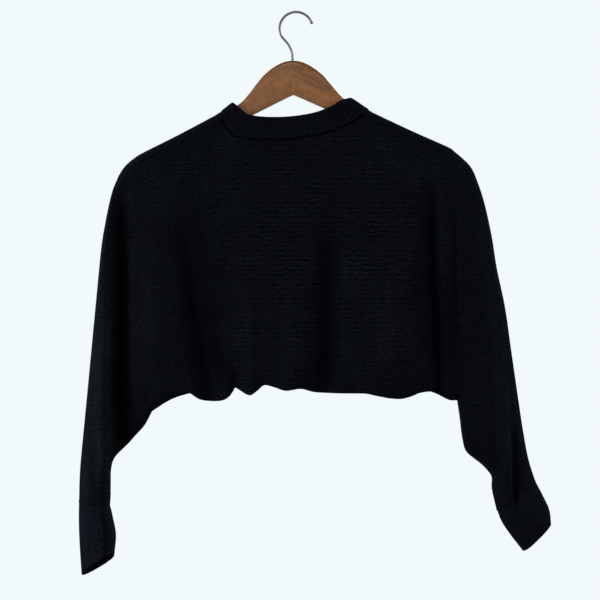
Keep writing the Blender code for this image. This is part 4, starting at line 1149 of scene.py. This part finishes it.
# ---- stitches ---------------------------------------------------------------------------
def chain_tree(material):
    """Geometry Nodes: a chain of slanted stitch pairs along a line of points."""
    tree = bpy.data.node_groups.new("linked_chain", "GeometryNodeTree")
    tree.interface.new_socket("Line", in_out="INPUT", socket_type="NodeSocketGeometry")
    for name, value in (("Pitch", 0.0034), ("Yarn", 0.0009), ("Slant", 0.5)):
        made = tree.interface.new_socket(name, in_out="INPUT", socket_type="NodeSocketFloat")
        made.default_value = value
    tree.interface.new_socket("Stitches", in_out="OUTPUT", socket_type="NodeSocketGeometry")
    given = node(tree, "NodeGroupInput").outputs
    facing = node(tree, "GeometryNodeInputNamedAttribute", {"Name": "facing"},
                  data_type="FLOAT_VECTOR")
    line = node(tree, "GeometryNodeMeshToCurve", {"Mesh": given["Line"]})
    spaced = node(tree, "GeometryNodeResampleCurve",
                  {"Curve": line, "Length": given["Pitch"]}, mode="LENGTH")
    along = node(tree, "FunctionNodeAlignRotationToVector",
                 {"Vector": node(tree, "GeometryNodeInputTangent")}, axis="X")
    turned = node(tree, "FunctionNodeAlignRotationToVector",
                  {"Rotation": along, "Vector": facing}, axis="Z", pivot_axis="X")
    ball = node(tree, "GeometryNodeMeshUVSphere", {"Segments": 8, "Rings": 5, "Radius": 1.0})
    half = node(tree, MATH, {0: given["Pitch"], 1: LEG_LENGTH}, operation="MULTIPLY")
    thick = node(tree, MATH, {0: given["Yarn"], 1: 0.5}, operation="MULTIPLY")
    size = node(tree, "ShaderNodeCombineXYZ", {"X": half, "Y": thick, "Z": thick})
    pair = node(tree, "GeometryNodeJoinGeometry")
    for side in (-1.0, 1.0):
        lean = node(tree, MATH, {0: given["Slant"], 1: -side}, operation="MULTIPLY")
        turn = node(tree, "ShaderNodeCombineXYZ", {"Z": lean})
        apart = node(tree, MATH, {0: given["Yarn"], 1: LEG_APART * side}, operation="MULTIPLY")
        shift = node(tree, "ShaderNodeCombineXYZ", {"Y": apart})
        leg = node(tree, "GeometryNodeTransform",
                   {"Geometry": ball, "Translation": shift, "Rotation": turn, "Scale": size})
        tree.links.new(leg.outputs[0], pair.inputs["Geometry"])
    placed = node(tree, "GeometryNodeInstanceOnPoints",
                  {"Points": spaced, "Instance": pair, "Rotation": turned})
    real = node(tree, "GeometryNodeRealizeInstances", {"Geometry": placed})
    smooth = node(tree, "GeometryNodeSetShadeSmooth", {0: real})
    dyed = node(tree, "GeometryNodeSetMaterial", {"Geometry": smooth, "Material": material})
    node(tree, "NodeGroupOutput", {"Stitches": dyed})
    return tree


def add_chain(name, points, facing, tree, values, material, slot, closed=False):
    """Chain of stitches along points (mm), standing on the side that they face."""
    mesh = bpy.data.meshes.new(name + "_line")
    edges = [(i, i + 1) for i in range(len(points) - 1)]
    if closed:
        edges.append((len(points) - 1, 0))
    mesh.from_pydata((np.asarray(points) * MM).tolist(), edges, [])
    attribute = mesh.attributes.new("facing", "FLOAT_VECTOR", "POINT")
    attribute.data.foreach_set("vector", np.asarray(facing, float).ravel())
    obj = bpy.data.objects.new(name, mesh)
    bpy.context.scene.collection.objects.link(obj)
    modifier = obj.modifiers.new("linked_chain", "NODES")
    modifier.node_group = tree
    for item in tree.interface.items_tree:
        if item.item_type == "SOCKET" and item.in_out == "INPUT" and item.name in values:
            modifier[item.identifier] = values[item.name]
    bpy.context.view_layer.update()
    made = bpy.data.meshes.new_from_object(
        obj.evaluated_get(bpy.context.evaluated_depsgraph_get()))
    obj.modifiers.remove(modifier)
    obj.data = made
    made.name = name
    bpy.data.meshes.remove(mesh)
    if not len(made.polygons):
        raise RuntimeError(name + " has no stitches")
    made.materials.clear()
    made.materials.append(material)
    finish_piece(obj, slot, solid=False)


# ---- operators --------------------------------------------------------------------------
def shapes(context):
    """Back and front grids, the neck's stations and the band's top, from the settings."""
    cloth = context.scene.sweater_cloth
    return make_panels(cloth.wall / MM, cloth.crease)


class SWEATER_OT_panels(Operator):
    """Back and front, each cut in one with its half of both sleeves"""
    bl_idname = "sweater.panels"
    bl_label = "Back and front"

    def execute(self, context):
        cloth = context.scene.sweater_cloth
        grids, neck = shapes(context)[:2]
        for layer, area in (("back", 0.212), ("front", 0.203)):
            points, normals = grids[layer]
            # The band is linked on over the edge, so the cloth sinks beside it.
            reach = np.linalg.norm(points[neck] - points[neck, :1], axis=-1, keepdims=True)
            sink = NECK_SINK * np.exp(-(reach / NECK_SINK_REACH) ** 2)
            points[neck] -= sink * normals[neck] * np.array([0.0, 1.0, 0.0])
            name = layer + "_panel"
            made = add_wall(name + "_cloth", points, points - cloth.wall / MM * normals,
                            knitted_wool("knitted_wool_" + layer, cloth, relief=0.55,
                                         courses=0.85),
                            fold_crown(layer, points[..., 0], points[..., 2]))
            finish_piece(made, name)
        return {"FINISHED"}


class SWEATER_OT_neckband(Operator):
    """Ribbed band, folded double and linked on round the neck"""
    bl_idname = "sweater.neckband"
    bl_label = "Neckband"

    def execute(self, context):
        cloth = context.scene.sweater_cloth
        band = context.scene.sweater_band
        grids, neck, tops = shapes(context)
        loop = [once_round(grids["back"][kind][neck, 0], grids["front"][kind][neck, 0])
                for kind in (0, 1)]
        top = once_round(*tops)
        count = len(top)
        closed = np.arange(count + 1) % count
        middle = 0.5 * (loop[0] + top)[closed]
        travelled = np.concatenate([[0.0], np.cumsum(
            np.linalg.norm(np.diff(middle, axis=0), axis=1))])
        samples = band.ribs * RIB_SAMPLES
        steps = np.arange(samples) / samples
        around = np.interp(steps * travelled[-1], travelled, np.arange(count + 1))

        def read_ring(values):
            """The stations' values, read at even steps once round the band."""
            return np.stack([np.interp(around, np.arange(count + 1), values[closed, axis])
                             for axis in range(3)], axis=-1)

        low, high = read_ring(loop[0]), read_ring(top)
        up = unit(high - low)
        normals = unit(read_ring(loop[1]))
        tangent = unit(np.roll(high, -RIB_SAMPLES, axis=0) - np.roll(high, RIB_SAMPLES, axis=0))
        high_normals = unit(np.cross(tangent, up))
        high_normals *= np.sign(np.sum(high_normals * normals, axis=-1, keepdims=True))
        low = low + SEAM_GAP * up
        wave = 0.5 - 0.5 * np.cos(2 * math.pi * steps * band.ribs)
        ridge = (band.rib_height / MM * wave ** 0.8)[:, None]
        length = np.linalg.norm(high - low, axis=1)
        profile = read_table(BAND_PROFILE + BAND_PROFILE[:1], BAND_COLUMNS,
                             np.linspace(0, len(BAND_PROFILE), 45)[:-1])
        rings = []
        places = []
        for share, side, bulge, rib in zip(*(profile[name] for name in BAND_COLUMNS)):
            share = min(max(share, -0.06), 1.0)
            normal = unit(normals + (high_normals - normals) * max(share, 0.0))
            offset = bulge - BAND_WALL * (1 - side) + rib * ridge * (2 * side - 1)
            rings.append(low + (high - low) * share + normal * offset)
            places.append(np.stack([steps * travelled[-1], length * (share - 2 * (1 - side))],
                                   axis=-1))
        rings = np.stack(rings, axis=1)
        uv = np.stack(places, axis=1).reshape(-1, 2)
        made = add_closed_grid("neckband_rib", rings,
                               knitted_wool("ribbed_wool_neckband", cloth, relief=0.5,
                                            courses=0.0), uv)
        finish_piece(made, "neckband")
        return {"FINISHED"}


def cuff_grid(table, grids, side, name, crease):
    """Outer points and normals of a cuff, round its rings and from its seam to its rim."""
    row = read_table(table, SLEEVE_COLUMNS, np.linspace(0, len(table) - 1, CUFF_STEPS + 1))
    over = edge_points(row, "over_x", "middle_y", "over_z")
    under = edge_points(row, "under_x", "middle_y", "under_z")
    depth = row["half_depth"]
    outer = once_round(*(
        section_rows(over, under, row["over_z"], row["middle_y"], depth, depth,
                     np.zeros(len(over)), np.full(len(over), ROUNDING[side]),
                     layer, name + " " + layer, crease, SIDE_STEPS).transpose(1, 0, 2)
        for layer in ("back", "front")))
    end, before = (0, 1) if side < 0 else (-1, -2)
    ring, ring_before, ring_normals = (
        once_round(grids["back"][kind][at], grids["front"][kind][at])
        for kind, at in ((0, end), (0, before), (1, end)))
    seam = ring + SEAM_GAP * unit(ring - ring_before)
    growth = np.linspace(0, 1, CUFF_STEPS + 1)[None, :, None]
    outer = outer + (seam - outer[:, 0])[:, None] * ease(1 - growth / CUFF_BLEND)
    centre = outer.mean(axis=0, keepdims=True)
    near = (centre[..., 1:2] - outer[..., 1:2]) / depth.max()
    outer = outer + growth * CUFF_RISE[side] * near * np.array([0.0, 0.0, 1.0])
    wrapped = np.concatenate([outer[-1:], outer, outer[:1]])
    normals = unit(np.cross(np.gradient(wrapped, axis=0), np.gradient(wrapped, axis=1)))[1:-1]
    if np.sum(normals * (outer - centre), axis=-1).mean() < 0:
        normals = -normals
    share = ease(1 - growth / CUFF_NORMAL_BLEND)
    normals = unit(normals * (1 - share) + ring_normals[:, None, :] * share)
    return outer, relax(normals, CUFF_NORMAL_PASSES)


class SWEATER_OT_cuffs(Operator):
    """Plain tubes on the ends of the sleeves"""
    bl_idname = "sweater.cuffs"
    bl_label = "Cuffs"

    def execute(self, context):
        cloth = context.scene.sweater_cloth
        grids = shapes(context)[0]
        for name, table, side, flat in (
                ("cuff_left", LEFT_CUFF, -1, (0.155, 0.080)),
                ("cuff_right", RIGHT_CUFF, 1, (0.135, 0.065))):
            outer, normals = cuff_grid(table, grids, side, name, cloth.crease)
            crown = fold_crown(name + " back", outer[..., 0], outer[..., 2])
            made = add_wall(name + "_cloth", outer, outer - cloth.wall / MM * normals,
                            knitted_wool("knitted_wool_" + name, cloth, relief=0.5,
                                         courses=0.35),
                            CUFF_CROWN * crown, ring=True)
            finish_piece(made, name)
        return {"FINISHED"}


class SWEATER_OT_links(Operator):
    """Chains of stitches that link the neckband, the shoulders, the underarms and the cuffs"""
    bl_idname = "sweater.links"
    bl_label = "Linked seams"

    def execute(self, context):
        cloth = context.scene.sweater_cloth
        band = context.scene.sweater_band
        grids, neck, tops = shapes(context)
        yarn = linking_yarn("linking_yarn", cloth)
        tree = chain_tree(yarn)
        values = {"Pitch": band.link_pitch, "Yarn": band.link_yarn}
        (back, back_normals), (front, front_normals) = grids["back"], grids["front"]
        # The yarn that links the band on is pulled down hard under its edge, and its colour is
        # painted shade, darker than the yarn.
        line = once_round(back[neck, 0], front[neck, 0])
        facing = once_round(back_normals[neck, 0], front_normals[neck, 0])
        line = line - NECK_LINKS_BELOW * unit(once_round(*tops) - line) - NECK_LINKS_DEEP * facing
        add_chain("neck_links", line, facing, tree, dict(values, Yarn=NECK_YARN),
                  painted_shade_yarn("linking_yarn_painted_shade", cloth), "neckband", closed=True)
        last = len(back) - 1
        low = last - SLEEVE_STEPS
        proud = LINKS_PROUD * band.link_yarn / MM
        for name, stations, row, lift in (
                ("shoulder_links_left", slice(SLEEVE_STEPS, neck.start + 1), CAP_STEPS, proud),
                ("shoulder_links_right", slice(neck.stop - 1, low), CAP_STEPS, proud),
                ("underarm_links_left", slice(0, SLEEVE_STEPS + 1), -1, UNDERARM_LINKS_PROUD),
                ("underarm_links_right", slice(low, last + 1), -1, UNDERARM_LINKS_PROUD)):
            facing = back_normals[stations, row]
            add_chain(name, back[stations, row] + lift * facing, facing, tree, values, yarn,
                      "back_panel")
        for side, end in (("left", 0), ("right", -1)):
            facing = once_round(back_normals[end], front_normals[end])
            line = once_round(back[end], front[end]) - CUFF_LINKS_DEEP * facing
            add_chain("cuff_links_" + side, line, facing, tree, dict(values, Yarn=CUFF_YARN),
                      yarn, "cuff_" + side, closed=True)
        return {"FINISHED"}


def wood_section(upper, lower, half_thickness, top_radius, low_radius):
    """Rounded rectangle of the wood across an arm, as depth and height."""
    points = []
    for turn in range(4):
        radius = top_radius if turn in (0, 1) else low_radius
        y_centre = (half_thickness - radius) * (1 if turn in (0, 3) else -1)
        z_centre = upper - radius if turn in (0, 1) else lower + radius
        for step in range(CORNER_STEPS):
            angle = math.radians(90 * turn + 90 * step / CORNER_STEPS)
            points.append((y_centre + radius * math.cos(angle),
                           z_centre + radius * math.sin(angle)))
    return points


class SWEATER_OT_wood(Operator):
    """Two wooden arms, glued at the middle, with a bore for the hook"""
    bl_idname = "sweater.wood"
    bl_label = "Wooden arms"

    def execute(self, context):
        hanger = context.scene.sweater_hanger
        round_start = ARM_LENGTH - TIP_ROUND
        turns = np.radians(np.linspace(6, 84, TIP_STEPS + 1))
        places = np.concatenate([
            [0.5 * JOINT_GAP],
            np.linspace(1.0, ARM_BENT, BENT_STEPS + 1),
            np.linspace(ARM_BENT + 3.0, round_start, STRAIGHT_STEPS + 1),
            round_start + TIP_ROUND * np.sin(turns)])
        bpy.ops.mesh.primitive_cylinder_add(
            vertices=32, radius=hanger.wire + SEAM_GAP * MM, depth=2 * STEM_DEPTH * MM,
            location=(WOOD_TOP[0] * MM, 0, WOOD_TOP[1] * MM))
        bore = context.active_object
        for name, side in (("hanger_arm_left", -1), ("hanger_arm_right", 1)):
            rings = []
            for out in places:
                row = read_at(ARM, ARM_COLUMNS, out)
                past = max(0.0, out - round_start) / TIP_ROUND
                size = TIP_SHARE + (1 - TIP_SHARE) * math.sqrt(1 - past ** 2)
                middle = 0.5 * (row["upper"] + row["lower"])
                half = 0.5 * (row["upper"] - row["lower"]) * size
                depth = WOOD_HALF_THICKNESS * size
                radius = min(WOOD_EDGE_RADIUS, 0.9 * half, 0.9 * depth)
                section = np.array(wood_section(middle + half, middle - half, depth, radius,
                                                min(WOOD_LOW_RADIUS, radius)))
                x, z = turn_wood(np.full(len(section), out), section[:, 1], side)
                rings.append(np.stack([x, section[:, 0], z], axis=-1))
            beech = stained_beech("stained_beech_" + name, hanger, -side * WOOD_FALL)
            made = add_closed_grid(name + "_wood", np.stack(rings), beech, ends=True)
            cut = made.modifiers.new("bore", "BOOLEAN")
            cut.operation = "DIFFERENCE"
            cut.object = bore
            mesh = bpy.data.meshes.new_from_object(
                made.evaluated_get(context.evaluated_depsgraph_get()))
            made.modifiers.remove(cut)
            made.data = mesh
            mesh.set_sharp_from_angle(angle=math.radians(50))
            finish_piece(made, name)
        bpy.data.objects.remove(bore, do_unlink=True)
        return {"FINISHED"}


class SWEATER_OT_hook(Operator):
    """Bent wire hook, its stem in the wood"""
    bl_idname = "sweater.hook"
    bl_label = "Hook"

    def execute(self, context):
        hanger = context.scene.sweater_hanger
        radius = hanger.wire / MM
        turns = np.radians(np.linspace(HOOK_START, HOOK_END, 13))
        bend = tuple((HOOK_RADIUS * math.cos(turn), radius - HOOK_RADIUS
                      + HOOK_RADIUS * math.sin(turn)) for turn in turns)
        rows = bend + HOOK_NECK + ((WOOD_TOP[0], WOOD_TOP[1] - STEM_DEPTH + 1.0),)
        row = read_table(rows, LINE_COLUMNS, np.linspace(0, len(rows) - 1, HOOK_STEPS))
        line = np.stack([row["x"], np.zeros(len(row["x"])), row["z"]], axis=-1)
        tangent = unit(np.gradient(line, axis=0))
        side = np.array([0.0, 1.0, 0.0])
        across = np.cross(tangent, side)
        # The cut end of the wire is filed round, over its own radius.
        shares = [math.sin(math.radians(angle)) for angle in FILED_ANGLES]
        line = np.concatenate([
            [line[0] - tangent[0] * radius * math.sqrt(1 - share ** 2) for share in shares],
            line])
        across = np.concatenate([[across[0]] * len(shares), across])
        sizes = radius * np.concatenate([shares, np.ones(len(line) - len(shares))])
        # Its tip is upset into a small knob.
        past = np.linalg.norm(line - line[0], axis=1)
        sizes *= 1 + KNOB_SWELL * (1 - ease((past - KNOB_LENGTH) / KNOB_FADE))
        angles = np.linspace(0, 2 * math.pi, 21)[:-1]
        rings = line[:, None] + sizes[:, None, None] * (
            np.cos(angles)[None, :, None] * across[:, None]
            + np.sin(angles)[None, :, None] * side)
        made = add_closed_grid("hanger_hook_wire", rings,
                               plated_steel("nickel_plated_steel", hanger), ends=True)
        made.data.set_sharp_from_angle(angle=math.radians(60))
        finish_piece(made, "hanger_hook")
        return {"FINISHED"}


class SWEATER_OT_stage(Operator):
    """Pale backdrop, soft light and the camera"""
    bl_idname = "sweater.stage"
    bl_label = "Stage"

    def execute(self, context):
        stage = context.scene.sweater_stage
        scene = context.scene
        scene.view_settings.view_transform = "Standard"
        cove = 0.9
        angles = np.radians(np.linspace(0, 90, 13))
        radii = np.concatenate([[0.02, 0.5, 1.2, 2.0], stage.radius - cove + cove * np.sin(angles),
                                [stage.radius, stage.radius]])
        heights = np.concatenate([[0.0] * 4, cove - cove * np.cos(angles), [2.0, 4.2]])
        around = np.linspace(0, 2 * math.pi, 97)[:-1]
        rings = np.stack([np.stack([radius * np.cos(around), radius * np.sin(around),
                                    np.full(len(around), stage.floor + height)], axis=-1)
                          for radius, height in zip(radii, heights)])
        mesh = bpy.data.meshes.new("backdrop")
        count = len(around)
        faces = [[row * count + column, row * count + (column + 1) % count,
                  (row + 1) * count + (column + 1) % count, (row + 1) * count + column]
                 for row in range(len(rings) - 1) for column in range(count)]
        faces.append(list(range(count))[::-1])
        mesh.from_pydata(rings.reshape(-1, 3).tolist(), [], faces)
        mesh.shade_smooth()
        mesh.materials.append(backdrop_paper("matt_backdrop_paper", stage))
        backdrop = bpy.data.objects.new("backdrop", mesh)
        # The ground is far off and doesn't light the cloth, so its folds stay dark.
        backdrop.visible_diffuse = False
        scene.collection.objects.link(backdrop)

        world = bpy.data.worlds.new("pale_room")
        world.use_nodes = True
        ground = world.node_tree.nodes["Background"].inputs
        ground["Color"].default_value = (*stage.backdrop, 1.0)
        ground["Strength"].default_value = 0.06
        scene.world = world

        for name, place, size, power in (
                ("left_light", (-1.8, -0.9, -0.35), 1.4, 24.0),
                ("right_light", (1.9, -1.0, 0.0), 1.2, 17.0),
                ("front_light", (-0.3, -1.8, 1.3), 0.9, 14.0),
                ("left_rim_light", (-2.0, -0.1, -0.4), 0.9, 24.0),
                ("right_rim_light", (2.0, -0.05, 0.3), 0.8, 12.0),
                ("back_light", (0.8, 2.0, 0.8), 1.4, 30.0)):
            lamp = bpy.data.lights.new(name, "AREA")
            lamp.shape = "DISK"
            lamp.size = size
            lamp.energy = power
            obj = bpy.data.objects.new(name, lamp)
            obj.location = place
            way = Vector((0.0, 0.0, -0.37)) - obj.location
            obj.rotation_mode = "QUATERNION"
            obj.rotation_quaternion = way.to_track_quat("-Z", "Y")
            obj.visible_camera = False
            scene.collection.objects.link(obj)

        camera = bpy.data.objects.new("camera", bpy.data.cameras.new("camera"))
        camera.data.lens = stage.lens
        camera.data.sensor_width = 36.0
        camera.location = (0.005, -3.2, -0.372)
        camera.rotation_euler = (math.radians(90.0), 0.0, 0.0)
        scene.collection.objects.link(camera)
        scene.camera = camera
        return {"FINISHED"}


class SWEATER_PT_sidebar(Panel):
    """Sizes, colours and a button for each group of pieces"""
    bl_idname = "SWEATER_PT_sidebar"
    bl_label = "Sweater"
    bl_space_type = "VIEW_3D"
    bl_region_type = "UI"
    bl_category = "Sweater"

    def draw(self, context):
        for name, group in GROUPS.items():
            box = self.layout.box()
            settings = getattr(context.scene, name)
            box.label(text=group.__doc__)
            for key in group.__annotations__:
                box.prop(settings, key)
        for operator in OPERATORS:
            self.layout.operator(operator.bl_idname)


GROUPS = {
    "sweater_cloth": ClothSettings,
    "sweater_band": BandSettings,
    "sweater_hanger": HangerSettings,
    "sweater_stage": StageSettings,
}
OPERATORS = (
    SWEATER_OT_panels,
    SWEATER_OT_neckband,
    SWEATER_OT_cuffs,
    SWEATER_OT_links,
    SWEATER_OT_wood,
    SWEATER_OT_hook,
    SWEATER_OT_stage,
)


def register():
    """Adds the settings, the operators and the panel to Blender."""
    for kind in (*GROUPS.values(), *OPERATORS, SWEATER_PT_sidebar):
        bpy.utils.register_class(kind)
    for name, group in GROUPS.items():
        setattr(bpy.types.Scene, name, PointerProperty(type=group))


def unregister():
    """Takes them out again."""
    for name in GROUPS:
        delattr(bpy.types.Scene, name)
    for kind in (SWEATER_PT_sidebar, *reversed(OPERATORS), *GROUPS.values()):
        bpy.utils.unregister_class(kind)


def main():
    """Builds the whole object."""
    register()
    for operator in OPERATORS:
        space, name = operator.bl_idname.split(".")
        if getattr(getattr(bpy.ops, space), name)() != {"FINISHED"}:
            raise RuntimeError(operator.bl_label + " wasn't made")


if __name__ == "__main__":
    main()
